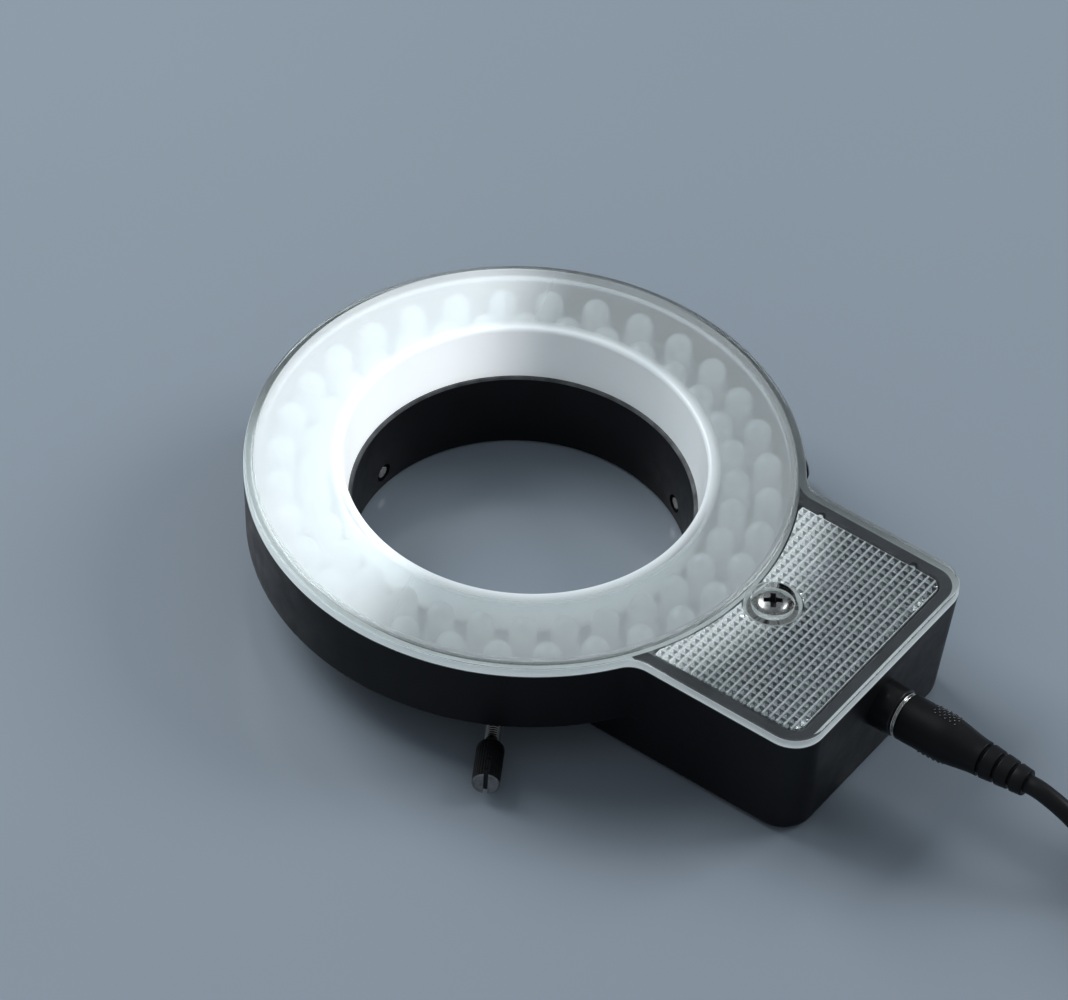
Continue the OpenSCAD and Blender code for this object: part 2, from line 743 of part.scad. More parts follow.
// Radius of the strain relief along the plug
function relief_r(x) =
  (relief_start_d + (relief_end_d - relief_start_d) * (x - grip_end) / (relief_end - grip_end)) / 2;

// Moulded grip that tapers into a ribbed strain relief
module plug_grip() {
  edge = 0.35;
  ribs = [for (i = [0:relief_ribs - 1]) let (x = grip_end + i * rib_pitch) each [
    [x, relief_r(x) - rib_groove_depth], [x + rib_gap, relief_r(x) - rib_groove_depth],
    [x + rib_gap, relief_r(x + rib_gap) - edge / 2], [x + rib_gap + edge, relief_r(x + rib_gap + edge)],
    [x + rib_pitch - edge, relief_r(x + rib_pitch - edge)], [x + rib_pitch, relief_r(x + rib_pitch) - edge / 2]
  ]];
  color([0.04, 0.04, 0.045]) translate([0, 0, inlet_z]) turned(concat(
    [
      [grip_start, 0], [grip_start, grip_d / 2 - edge], [grip_start + edge, grip_d / 2],
      [grip_start + grip_l * 0.5, grip_d / 2 - 0.1], [grip_start + grip_l * 0.8, relief_start_d / 2 + 0.25],
      [grip_end - edge, relief_start_d / 2], [grip_end, relief_start_d / 2 - edge]
    ],
    ribs,
    [[relief_end, 0]]
  ));
}

// Metal barrel with the thin collar that shows in front of the grip
module plug_barrel() {
  bore = barrel_d / 2 - barrel_t;
  color([0.8, 0.8, 0.78]) translate([0, 0, inlet_z]) turned([
    [barrel_start, bore], [barrel_start, barrel_d / 2], [plug_start, barrel_d / 2],
    [plug_start, collar_d / 2], [grip_start, collar_d / 2], [grip_start, bore]
  ]);
}

module plug_insulator() {
  color([0.1, 0.1, 0.1]) translate([0, 0, inlet_z]) turned([
    [barrel_start + loose_gap, inlet_pin_d / 2 + 2 * running_gap],
    [barrel_start + loose_gap, barrel_d / 2 - barrel_t - seat_gap],
    [barrel_start + loose_gap + insulator_l, barrel_d / 2 - barrel_t - seat_gap],
    [barrel_start + loose_gap + insulator_l, inlet_pin_d / 2 + 2 * running_gap]
  ]);
}

module cord_lead() {
  color([0.05, 0.05, 0.055]) tube(lead_route, cord_r, lead_sides);
}

// Turns wound so far at a ring of the coil
coil_turns = coil_layers * layer_turns;
coil_count = coil_turns * coil_rings;

// The loops spiral in and out again at a steady rate, from the outside
function coil_r(t) = coil_in_r + coil_step * abs(t % (2 * layer_turns) - layer_turns);

// Each layer is climbed in the half turn where the spiral reverses
function layer_climb(t, k) = min(1, max(0, (t - k * layer_turns + 0.25) / 0.5));
function coil_level(t) = [for (k = [1:coil_layers - 1]) layer_climb(t, k)] * [for (k = [1:coil_layers - 1]) 1];
function coil_point(i) =
  let (t = i / coil_rings, a = 360 * t - 90)
  [coil_x + coil_r(t) * cos(a), coil_y + coil_r(t) * sin(a), coil_z + coil_step * coil_level(t)];
coil_loops = [for (i = [0:coil_count]) coil_point(i)];
coil_route = concat(
  [coil_loops[0] - [cord_d, 0, 0]], coil_loops, [coil_loops[coil_count] + [cord_d, 0, 0]]
);

// Least distance between two stretches of the coil that are half a turn or more apart, less the cord
coil_gap = min([for (i = [0:coil_count], j = [i + coil_rings / 2:1:coil_count])
  norm(coil_loops[i] - coil_loops[j])]) - cord_d;
echo("least gap between the coil's loops", coil_gap);

module cord_coil() {
  color([0.05, 0.05, 0.055]) tube(coil_route, cord_r, coil_sides);
}

module cord_tail() {
  color([0.05, 0.05, 0.055]) tube(tail_route, cord_r, lead_sides);
}

// Band round the bundle of loops, on the side away from the lead
module cord_tie() {
  inner = [coil_in_r - cord_r - tie_slack, coil_out_r + cord_r + loose_gap];
  top = coil_top_z + cord_r + loose_gap;
  color([0.08, 0.08, 0.08]) translate([coil_x, coil_y, 0]) rotate(90) translate([0, tie_w / 2, 0])
    rotate([90, 0, 0]) linear_extrude(tie_w) difference() {
      translate([inner[0] - tie_t, 0]) square([inner[1] - inner[0] + 2 * tie_t, top + tie_t]);
      translate([inner[0], tie_t]) square([inner[1] - inner[0], top - tie_t]);
    }
}

module adapter_relief() {
  groove = 0.7;
  pitch = adapter_relief_l / 5;
  radii = adapter_relief_d / 2;
  slope = (radii[1] - radii[0]) / adapter_relief_l;
  color([0.05, 0.05, 0.055]) translate([adapter_relief_start, 0, adapter_z]) turned(concat(
    [[0, 0], [0, radii[0]]],
    [for (i = [1:4]) let (x = i * pitch, r = radii[0] + slope * x) each [
      [x - groove, r], [x - groove, r - groove], [x, r - groove], [x, r]
    ]],
    [[adapter_relief_l, radii[1]], [adapter_relief_l, 0]]
  ));
}

// Outline of the adapter's case, drawn in for its rounded edges
function case_plan(inset) =
  let (x0 = case_start + inset, x1 = case_start + case_l - inset, hw = case_w / 2 - inset, r = case_r - inset)
  concat(
    arc([x1 - r, r - hw], r, -90, 0, corner_steps), arc([x1 - r, hw - r], r, 0, 90, corner_steps),
    arc([x0 + r, hw - r], r, 90, 180, corner_steps), arc([x0 + r, r - hw], r, 180, 270, corner_steps)
  );

// One half of the case, from the seam to its rounded face
module case_half() {
  loft(concat(
    [raised(case_plan(0), 0)],
    [for (i = [0:round_steps]) let (a = 90 * i / round_steps)
      raised(case_plan(case_edge_r * (1 - cos(a))), adapter_z - case_edge_r * (1 - sin(a)))]
  ));
}

module case_pin_roots() {
  for (y = [-pin_pitch / 2, pin_pitch / 2])
    translate([0, y, adapter_z]) rod(case_start + case_l - pin_root_l, case_start + case_l + past, pin_d + 2 * seat_gap);
}

module adapter_lower_case() {
  color([0.06, 0.06, 0.065]) difference() {
    translate([0, 0, adapter_z]) mirror([0, 0, 1]) case_half();
    case_pin_roots();
  }
}

module adapter_upper_case() {
  color([0.06, 0.06, 0.065]) difference() {
    translate([0, 0, adapter_z]) case_half();
    case_pin_roots();
  }
}

// Round mains pins with a sleeved root
module adapter_pins() {
  end = case_start + case_l;
  color([0.78, 0.77, 0.72]) for (y = [-pin_pitch / 2, pin_pitch / 2])
    translate([end, y, adapter_z]) turned(concat(
      [[-pin_root_l, 0], [-pin_root_l, pin_d / 2], [0, pin_d / 2], [0, pin_sleeve_d / 2], [pin_sleeve_l, pin_sleeve_d / 2]],
      [[pin_sleeve_l, pin_d / 2]],
      [for (i = [0:corner_steps]) let (a = 90 * i / corner_steps)
        [pin_l - pin_d / 2 + pin_d / 2 * sin(a), pin_d / 2 * cos(a)]]
    ));
}

housing();
cover();
prism_panel();
cover_screw();
lamp_board();
outer_lamps();
inner_lamps();
lamp_resistors();
driver_board();
driver_board_screws();
driver_chip();
filter_capacitor();
driver_coil();
red_lamp_wire();
black_lamp_wire();
inlet_body();
inlet_pin();
inlet_spring();
thread_inserts();
clamp_stud(0);  // clamp_stud_1
clamp_stud(1);  // clamp_stud_2
clamp_stud(2);  // clamp_stud_3
clamp_knob(0);  // clamp_knob_1
clamp_knob(1);  // clamp_knob_2
clamp_knob(2);  // clamp_knob_3
plug_grip();
plug_barrel();
plug_insulator();
cord_lead();
cord_coil();
cord_tail();
cord_tie();
adapter_relief();
adapter_lower_case();
adapter_upper_case();
adapter_pins();
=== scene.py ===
# %% [markdown]
# # A ring light for a microscope, dressed in Blender
#
# The lamp lies on its foot with the lamps up: a black moulding with a ring, a box and a clamping collar, a clear
# cover that is frosted over the lamps, three thumbscrews, and a low-voltage plug with its cord and adapter.
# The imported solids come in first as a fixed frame. Every piece made here is placed by that frame, in millimetres.

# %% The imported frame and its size
import json
import math

import bmesh
import bpy
from mathutils import Matrix, Vector


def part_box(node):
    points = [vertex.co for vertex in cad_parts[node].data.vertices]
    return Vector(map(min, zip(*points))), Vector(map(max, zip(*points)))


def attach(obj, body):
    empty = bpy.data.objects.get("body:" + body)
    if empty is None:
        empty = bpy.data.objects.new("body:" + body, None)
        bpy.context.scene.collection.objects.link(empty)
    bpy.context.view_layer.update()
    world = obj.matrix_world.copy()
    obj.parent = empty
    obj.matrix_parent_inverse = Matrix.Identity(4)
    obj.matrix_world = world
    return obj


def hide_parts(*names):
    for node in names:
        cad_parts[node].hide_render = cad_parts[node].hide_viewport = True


MM = 0.001
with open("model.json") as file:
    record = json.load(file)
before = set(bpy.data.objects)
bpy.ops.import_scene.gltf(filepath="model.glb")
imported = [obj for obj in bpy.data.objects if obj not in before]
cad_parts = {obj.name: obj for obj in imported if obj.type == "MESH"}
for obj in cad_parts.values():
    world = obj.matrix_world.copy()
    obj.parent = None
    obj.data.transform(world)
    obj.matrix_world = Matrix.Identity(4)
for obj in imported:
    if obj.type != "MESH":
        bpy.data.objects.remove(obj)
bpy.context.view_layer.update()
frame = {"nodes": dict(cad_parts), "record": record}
scene = bpy.context.scene
scene.view_settings.view_transform = "Standard"


def span(node):
    """Lowest and highest corner of a solid of the frame, in millimetres."""
    low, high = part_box(node)
    return low / MM, high / MM


def polar(r, azimuth):
    """Point on a circle about the bore's axis; azimuth in degrees."""
    return r * math.cos(math.radians(azimuth)), r * math.sin(math.radians(azimuth))


def add_object(name, data):
    added = bpy.data.objects.new(name, data)
    scene.collection.objects.link(added)
    return added


# %% [markdown]
# ## The camera
#
# A camera can be placed by eye, or fitted: here its place and axes come from fitting the ring's circles and the box's
# edges to the photograph. The lens is long, so lines that are parallel stay nearly parallel.

# %% Camera
CAMERA_AT = Vector((530.9, -803.5, 1013.6))
CAMERA_RIGHT = Vector((0.80846, 0.58687, 0.04442))
CAMERA_UP = Vector((-0.44786, 0.56448, 0.69338))
CAMERA_BACK = Vector((0.38185, -0.58047, 0.71920))
SENSOR_W = 36
LENS = 262.15

camera_data = bpy.data.cameras.new("photo_camera")
camera_data.sensor_fit = "HORIZONTAL"
camera_data.sensor_width = SENSOR_W
camera_data.lens = LENS
camera = add_object("photo_camera", camera_data)
axes = Matrix((CAMERA_RIGHT, CAMERA_UP, CAMERA_BACK)).transposed()
camera.matrix_world = Matrix.Translation(CAMERA_AT * MM) @ axes.to_4x4()
scene.camera = camera
print("camera at", [round(c) for c in CAMERA_AT], "mm")

# %% [markdown]
# ## Finishes
#
# Real surfaces are never one flat colour. Each finish is one Principled shader whose colour and roughness drift over
# a soft noise, and whose fine grain is a second noise through a Bump node. Both read Object coordinates in metres, so
# a scale of 2000 gives grains of about half a millimetre. What is the same all over is set on the shader's sockets.


# %% A finish with drifting colour, roughness and grain
DRIFT = (0.3, 0.7)
PATCH_DETAIL, ROUGH_DETAIL, GRAIN_DETAIL = 3, 4, 2
ROUGH_FINER = 4


def set_sockets(node, sockets):
    """Sets sockets by name; an underscore stands for the space in a socket's name."""
    for socket, value in sockets.items():
        node.inputs[socket.replace("_", " ")].default_value = value


def add_node(tree, kind, **sockets):
    node = tree.nodes.new(kind)
    set_sockets(node, sockets)
    return node


def noise(tree, where, scale, detail):
    """A soft noise over the object's coordinates."""
    node = add_node(tree, "ShaderNodeTexNoise", Scale=scale, Detail=detail)
    tree.links.new(where.outputs["Object"], node.inputs["Vector"])
    return node.outputs["Fac"]


def finish(name, dark, light, rough, patch=60, grain=2200, depth=0.0, **sockets):
    """Colour between dark and light, roughness between two values, grain of a depth in millimetres."""
    material = bpy.data.materials.new(name)
    material.use_nodes = True
    tree = material.node_tree
    shader = tree.nodes["Principled BSDF"]
    where = add_node(tree, "ShaderNodeTexCoord")
    tint = add_node(tree, "ShaderNodeValToRGB")
    for stop, position, colour in zip(tint.color_ramp.elements, DRIFT, (dark, light)):
        stop.position, stop.color = position, (*colour, 1)
    tree.links.new(noise(tree, where, patch, PATCH_DETAIL), tint.inputs["Fac"])
    tree.links.new(tint.outputs["Color"], shader.inputs["Base Color"])
    spread = add_node(tree, "ShaderNodeMapRange", From_Min=DRIFT[0], From_Max=DRIFT[1],
                      To_Min=rough[0], To_Max=rough[1])
    tree.links.new(noise(tree, where, patch * ROUGH_FINER, ROUGH_DETAIL), spread.inputs["Value"])
    tree.links.new(spread.outputs["Result"], shader.inputs["Roughness"])
    if depth:
        bump = add_node(tree, "ShaderNodeBump", Distance=depth * MM)
        tree.links.new(noise(tree, where, grain, GRAIN_DETAIL), bump.inputs["Height"])
        tree.links.new(bump.outputs["Normal"], shader.inputs["Normal"])
    set_sockets(shader, sockets)
    return material


# %% The finishes, one for each of the record's slots
ACRYLIC = dict(IOR=1.49, Transmission_Weight=1.0)
METAL = dict(Metallic=1.0)
FINISHES = {
    "housing_black": finish("satin_black_moulding", (0.006, 0.006, 0.007), (0.010, 0.010, 0.012), (0.36, 0.48),
                            grain=2600, depth=0.02, Specular_IOR_Level=0.14),
    "cover_clear": finish("clear_acrylic", (0.93, 0.96, 0.96), (0.97, 0.99, 0.99), (0.02, 0.05), **ACRYLIC),
    "prism_clear": finish("prismatic_acrylic", (0.86, 0.90, 0.91), (0.92, 0.95, 0.96), (0.02, 0.04), **ACRYLIC),
    "nickel": finish("bright_nickel", (0.62, 0.61, 0.58), (0.75, 0.74, 0.71), (0.12, 0.26), patch=300, **METAL),
    # The dark lamps' epoxy has a faint painted glow that stands for light scattered from the lit half.
    "lamp_epoxy": finish("lamp_epoxy", (0.91, 0.95, 0.95), (0.96, 0.98, 0.98), (0.04, 0.08), IOR=1.5,
                         Transmission_Weight=0.62, Emission_Color=(0.9, 0.95, 0.96, 1), Emission_Strength=0.04),
    "dark_board": finish("dark_solder_resist", (0.10, 0.12, 0.12), (0.16, 0.18, 0.18), (0.3, 0.45), patch=200),
    "green_board": finish("green_solder_resist", (0.02, 0.10, 0.05), (0.03, 0.14, 0.07), (0.25, 0.4), patch=200),
    "component_black": finish("moulded_component", (0.02, 0.02, 0.02), (0.035, 0.035, 0.035), (0.45, 0.6),
                              depth=0.01),
    "can_blue": finish("capacitor_sleeve", (0.03, 0.04, 0.12), (0.05, 0.06, 0.16), (0.2, 0.3)),
    "ferrite": finish("ferrite_drum", (0.08, 0.06, 0.05), (0.14, 0.11, 0.09), (0.5, 0.7), depth=0.03),
    "wire_red": finish("red_insulation", (0.42, 0.02, 0.02), (0.52, 0.04, 0.03), (0.35, 0.5)),
    "wire_black": finish("black_insulation", (0.012, 0.012, 0.012), (0.02, 0.02, 0.02), (0.35, 0.5)),
    "inlet_black": finish("socket_moulding", (0.005, 0.005, 0.006), (0.010, 0.010, 0.011), (0.28, 0.4), depth=0.01,
                          Specular_IOR_Level=0.35),
    "brass": finish("machined_brass", (0.62, 0.42, 0.14), (0.76, 0.55, 0.22), (0.2, 0.34), patch=400, **METAL),
    "stud_steel": finish("bright_thread", (0.20, 0.20, 0.19), (0.32, 0.31, 0.30), (0.14, 0.26), patch=400, **METAL),
    "knob_black": finish("black_oxide", (0.006, 0.006, 0.007), (0.012, 0.012, 0.014), (0.26, 0.4), patch=300,
                         depth=0.01, Specular_IOR_Level=0.35),
    "plug_rubber": finish("overmoulded_grip", (0.004, 0.004, 0.005), (0.008, 0.008, 0.009), (0.38, 0.5), grain=3000,
                          depth=0.015, Specular_IOR_Level=0.2),
    "cord_black": finish("cord_sheath", (0.005, 0.005, 0.006), (0.009, 0.009, 0.010), (0.36, 0.48), grain=1500,
                         depth=0.015, Specular_IOR_Level=0.25),
    "tie_black": finish("woven_band", (0.010, 0.010, 0.010), (0.024, 0.024, 0.024), (0.7, 0.85), grain=4000,
                        depth=0.12, Sheen_Weight=0.3),
    "adapter_black": finish("grained_case", (0.011, 0.011, 0.012), (0.018, 0.018, 0.019), (0.42, 0.55), grain=2400,
                            depth=0.04),
}
# The emission colours of the frosted ring and of the flange's edge tint their painted glows, set further down.
FROSTED = finish("frosted_acrylic", (0.82, 0.90, 0.91), (0.88, 0.94, 0.95), (0.18, 0.23), patch=90,
                 IOR=1.49, Emission_Color=(0.95, 0.96, 0.98, 1))
EDGE_ACRYLIC = finish("matt_acrylic_edge", (0.74, 0.82, 0.82), (0.84, 0.91, 0.91), (0.3, 0.42), patch=150,
                      IOR=1.49, Emission_Color=(0.88, 0.96, 0.97, 1))
LIT_EPOXY = finish("lit_lamp_epoxy", (0.86, 0.89, 0.9), (0.93, 0.95, 0.96), (0.08, 0.16),
                   Emission_Color=(0.93, 0.97, 1.0, 1), Emission_Strength=0.12)
# Bright matt white for the panel's lands: painted bright lines that stand for light thrown back by the prisms.
PAINTED_BRIGHT_LAND = finish("painted_bright_land", (0.88, 0.91, 0.92), (0.93, 0.95, 0.96), (0.4, 0.5), patch=200)
DULL_NICKEL = finish("dull_nickel", (0.34, 0.34, 0.33), (0.48, 0.48, 0.46), (0.24, 0.36), patch=500, **METAL)
# Painted shade for the deep cross recess of the cover's screw.
PAINTED_SHADE_RECESS = finish("painted_shade_recess", (0.015, 0.016, 0.017), (0.03, 0.03, 0.032), (0.3, 0.45), patch=500)
GLOSSY_DOT = finish("glossy_dot", (0.006, 0.006, 0.007), (0.010, 0.010, 0.011), (0.1, 0.16),
                    Specular_IOR_Level=1.0)
SCUFFED_BLACK = finish("scuffed_edge", (0.03, 0.032, 0.035), (0.12, 0.125, 0.13), (0.3, 0.45), patch=350)
PRESSED_JOINT = finish("pressed_joint", (0.020, 0.023, 0.026), (0.048, 0.054, 0.060), (0.4, 0.55), patch=120)
BARE_STEEL = finish("bare_end_face", (0.20, 0.20, 0.20), (0.34, 0.34, 0.33), (0.25, 0.4), patch=700, **METAL)
for node, piece in frame["nodes"].items():
    slot = next(s["material_slot"] for s in frame["record"]["subparts"] if s["node"] == node)
    for holder in piece.material_slots:
        holder.material = FINISHES[slot]
print(len(FINISHES), "finishes for the slots, and more for single faces")

# %% [markdown]
# The frosted ring is milky at its inner rim and clearer over the lamps, so how much light it lets through is a ramp
# of the distance from the axis. Half of the lamps are switched on. The plastic scatters their light, so over the lit
# half it gets a painted glow, an emission that stands for that scattered light and grows towards the inner rim, and
# lets less through, by a second ramp across the ring. Two weaker painted glows are made the same way: the flange's
# edge is painted bright at the front and made clearer at the back, and painted light spills into the prism panel.

# %% Milky rim and glow of the frosted ring
LIT_FROM, LIT_TO = 131, 264
LIT_SPAN, RIM_SPAN = (4, 24), (32.2, 35.2)
PAINTED_GLOW, RIM_GAIN = (0.035, 0.2), 3.1
RIM_PASS, LIT_PASS = (0.08, 0.8), 0.54


def ramp(tree, value, spans, ends):
    """A smooth ramp from one end value to the other, over a span in millimetres."""
    step = add_node(tree, "ShaderNodeMapRange", From_Min=spans[0] * MM, From_Max=spans[1] * MM,
                    To_Min=ends[0], To_Max=ends[1])
    step.interpolation_type = "SMOOTHSTEP"
    tree.links.new(value, step.inputs["Value"])
    return step.outputs["Result"]


def measure(tree, operation, vector=(0, 0, 0)):
    """Length of the object's coordinates in the level plane, or their dot product with a vector."""
    where = next(node for node in tree.nodes if node.type == "TEX_COORD")
    flat, result = add_node(tree, "ShaderNodeVectorMath"), add_node(tree, "ShaderNodeVectorMath")
    flat.operation, result.operation = "MULTIPLY", operation
    flat.inputs[1].default_value, result.inputs[1].default_value = (1, 1, 0), vector
    tree.links.new(where.outputs["Object"], flat.inputs[0])
    tree.links.new(flat.outputs["Vector"], result.inputs[0])
    return result.outputs["Value"]


def multiply(tree, a, b):
    product = add_node(tree, "ShaderNodeMath")
    product.operation = "MULTIPLY"
    tree.links.new(a, product.inputs[0])
    tree.links.new(b, product.inputs[1])
    return product.outputs["Value"]


def feed(tree, value, socket):
    tree.links.new(value, tree.nodes["Principled BSDF"].inputs[socket])


frost = FROSTED.node_tree
towards_lit = measure(frost, "DOT_PRODUCT", (*polar(1, (LIT_FROM + LIT_TO) / 2), 0))
from_axis = measure(frost, "LENGTH")
passing = multiply(frost, ramp(frost, from_axis, RIM_SPAN, RIM_PASS),
                   ramp(frost, towards_lit, LIT_SPAN, (1, LIT_PASS)))
# The ring's emission is a painted glow: strong over the lit half, weak elsewhere, and stronger towards the inner rim.
painted_glow = multiply(frost, ramp(frost, from_axis, RIM_SPAN, (RIM_GAIN, 1)), ramp(frost, towards_lit, LIT_SPAN, PAINTED_GLOW))
feed(frost, passing, "Transmission Weight")
feed(frost, painted_glow, "Emission Strength")
print("lamps lit from", LIT_FROM, "to", LIT_TO, "degrees")

# %% Painted bright edge of the flange at the front, clearer at the back
FRONT = -70
EDGE_SPAN, EDGE_PAINTED_GLOW, EDGE_PASS = (-15, 20), (0, 0.15), (0.85, 0.35)
edge = EDGE_ACRYLIC.node_tree
towards_front = measure(edge, "DOT_PRODUCT", (*polar(1, FRONT), 0))
# The edge's emission is painted light, brighter towards the front.
feed(edge, ramp(edge, towards_front, EDGE_SPAN, EDGE_PAINTED_GLOW), "Emission Strength")
feed(edge, ramp(edge, towards_front, EDGE_SPAN, EDGE_PASS), "Transmission Weight")
print("edge brightens from", EDGE_SPAN[0], "to", EDGE_SPAN[1], "mm towards the front")

# %% Painted light that spills from the ring into the prism panel
SPILL_SPAN = (49, 60)
SPILL_COLOUR = (0.9, 0.96, 0.98, 1)
SPILLS = {PAINTED_BRIGHT_LAND: 0.32, FINISHES["prism_clear"]: 0.1}
for material, strength in SPILLS.items():
    tree = material.node_tree
    # An emission that fades away from the ring paints the spilled light onto the panel and its lands.
    feed(tree, ramp(tree, measure(tree, "LENGTH"), SPILL_SPAN, (strength, 0)), "Emission Strength")
    tree.nodes["Principled BSDF"].inputs["Emission Color"].default_value = SPILL_COLOUR
print("light spills", SPILL_SPAN[1] - SPILL_SPAN[0], "mm into the panel")

# %% [markdown]
# ## The cord
#
# The lead is a soft tube of one thickness, so it is a curve with a round bevel and not a mesh. It leaves the plug,
# droops to the table, and its unseen length lies in a neat tied coil before it runs to the adapter. The free
# stretches are listed points; the turns of the coil follow a rule: spiral in, spiral out, climb at each end.

# %% Route of the cord
CORD_D = 3.5
PLUG_Z = (span("plug_grip")[0].z + span("plug_grip")[1].z) / 2
CORD_EXIT = Vector((span("plug_grip")[1].x, 0, PLUG_Z))
LEAD_DROP = [
    (2, 0), (4.5, 0.5), (7, 1.3), (9.5, 2.4), (12, 3.8), (14.5, 5.4), (17, 7), (19.5, 8.5),
    (22, 9.8), (24.5, 10.9), (27, 11.8), (29.5, 12.4), (32, 12.7), (34.5, 12.9),
]
COIL_X = 150
COIL_MEAN_R, COIL_STEP = 19.2, 4.2
COIL_LAYERS, LAYER_TURNS, TURN_POINTS = 4, 3, 24
COIL_OUT_R = COIL_MEAN_R + LAYER_TURNS * COIL_STEP / 2
COIL_IN_R = COIL_MEAN_R - LAYER_TURNS * COIL_STEP / 2
COIL_LOW, CLIMB_TURNS, ENTRY_STEP = 2.75, 0.5, 1.5
COIL_TOP = COIL_LOW + (COIL_LAYERS - 1) * COIL_STEP
TAIL = [
    (156, 15.35), (159, 15.15), (162, 14.85), (165, 14.4), (168, 14.1), (171, 14), (174, 14),
    (182, 14), (190, 14), (198, 14), (205, 14),
]


def coil_point(turn):
    """A point of the coil after so many turns, starting outside and nearest to the lamp."""
    radius = COIL_IN_R + COIL_STEP * abs(turn % (2 * LAYER_TURNS) - LAYER_TURNS)
    climbs = [(turn - k * LAYER_TURNS + CLIMB_TURNS / 2) / CLIMB_TURNS for k in range(1, COIL_LAYERS)]
    level = sum(min(1, max(0, c)) for c in climbs)
    angle = math.tau * turn - math.pi / 2
    return (COIL_X + radius * math.cos(angle), COIL_OUT_R + radius * math.sin(angle), COIL_LOW + COIL_STEP * level)


lead = [tuple(CORD_EXIT)] + [(CORD_EXIT.x + dx, 0, CORD_EXIT.z - dz) for dx, dz in LEAD_DROP]
lead += [(COIL_X - CORD_D - ENTRY_STEP, 0, COIL_LOW), (COIL_X - CORD_D, 0, COIL_LOW)]
turns = COIL_LAYERS * LAYER_TURNS
loops = [coil_point(i / TURN_POINTS) for i in range(turns * TURN_POINTS + 1)]
tail = [(COIL_X + CORD_D, 0, COIL_TOP)] + [(x, 0, z) for x, z in TAIL]
cord_route = lead + loops + tail
print(len(cord_route), "points along the cord")

# %% The cord as a beveled curve
cord_curve = bpy.data.curves.new("low_voltage_cord", "CURVE")
cord_curve.dimensions = "3D"
cord_curve.bevel_depth = CORD_D / 2 * MM
cord_curve.bevel_resolution = 5
cord_curve.resolution_u = 3
cord_curve.use_fill_caps = True
spline = cord_curve.splines.new("BEZIER")
spline.bezier_points.add(len(cord_route) - 1)
for knot, point in zip(spline.bezier_points, cord_route):
    knot.co = Vector(point) * MM
    knot.handle_left_type = knot.handle_right_type = "AUTO"
low_voltage_cord = add_object("low_voltage_cord", cord_curve)


# %% [markdown]
# ## Tools for solids
#
# Most pieces are either skinned, through rows of points that go round them, or turned, from a profile that is spun
# about an axis. Both end in the same small function that makes a clean closed mesh with smooth faces and sharp edges.
# Holes are cut with a Boolean modifier that is applied at once, so that the piece stays a plain mesh.


# %% Solids from points
def shade(piece, sharp=32):
    """Smooth faces, with edges that turn more than sharp degrees kept crisp."""
    piece.data.shade_smooth()
    piece.data.set_sharp_from_angle(angle=math.radians(sharp))


def solid(name, points, faces):
    mesh = bpy.data.meshes.new(name)
    mesh.from_pydata([[c * MM for c in p] for p in points], [], faces)
    clean = bmesh.new()
    clean.from_mesh(mesh)
    bmesh.ops.remove_doubles(clean, verts=clean.verts, dist=1e-7)
    bmesh.ops.recalc_face_normals(clean, faces=clean.faces)
    clean.to_mesh(mesh)
    clean.free()
    piece = add_object(name, mesh)
    shade(piece)
    return piece


def skin(name, rows, loop=False):
    """A solid through rows of as many points each: capped at both ends, or a loop that meets itself."""
    n = len(rows[0])
    faces = []
    for k in range(len(rows) if loop else len(rows) - 1):
        a, b = k * n, (k + 1) % len(rows) * n
        faces += [(a + i, a + (i + 1) % n, b + (i + 1) % n, b + i) for i in range(n)]
    if not loop:
        end = (len(rows) - 1) * n
        faces += [tuple(range(n)), tuple(range(end, end + n))]
    return solid(name, [p for row in rows for p in row], faces)


# %% Turned solids and where their axis points
def standing_at(x, y):
    """An upright axis through a point."""
    return lambda px, py, pz: (px + x, py + y, pz)


def lengthwise(z, y=0):
    """An axis along +X at a height; the heights of a profile count along it."""
    return lambda px, py, pz: (pz, px + y, py + z)


upright, along_plug = standing_at(0, 0), lengthwise(PLUG_Z)


def turned(name, profile, steps=96, at=upright, ring=False):
    """A solid from points of (radius, height) about an axis; the profile of a ring closes on itself."""
    angles = [math.tau * i / steps for i in range(steps)]
    rows = [[at(r * math.cos(a), r * math.sin(a), h) for a in angles] for r, h in profile]
    return skin(name, rows, loop=ring)


def arc(cx, cy, r, start, end, steps):
    """Points on an arc, angles in degrees, both ends included."""
    angles = [math.radians(start + (end - start) * i / steps) for i in range(steps + 1)]
    return [(cx + r * math.cos(a), cy + r * math.sin(a)) for a in angles]


# %% Cutting, uniting and handing a piece to the frame
def combine(piece, others, operation):
    """Cuts other solids from a piece, or unites it with them, and removes them."""
    for other in others:
        step = piece.modifiers.new(operation, "BOOLEAN")
        step.object = other
        step.operation = operation
        step.solver = "EXACT"
    result = piece.evaluated_get(bpy.context.evaluated_depsgraph_get())
    before, piece.data = piece.data, bpy.data.meshes.new_from_object(result)
    piece.modifiers.clear()
    bpy.data.meshes.remove(before)
    for other in others:
        bpy.data.objects.remove(other)
    shade(piece)
    return piece


def join(name, pieces):
    """One mesh of several separate shells."""
    whole = bmesh.new()
    for piece in pieces:
        whole.from_mesh(piece.data)
    mesh = bpy.data.meshes.new(name)
    whole.to_mesh(mesh)
    whole.free()
    for piece in pieces:
        bpy.data.objects.remove(piece)
    joined = add_object(name, mesh)
    shade(joined)
    return joined


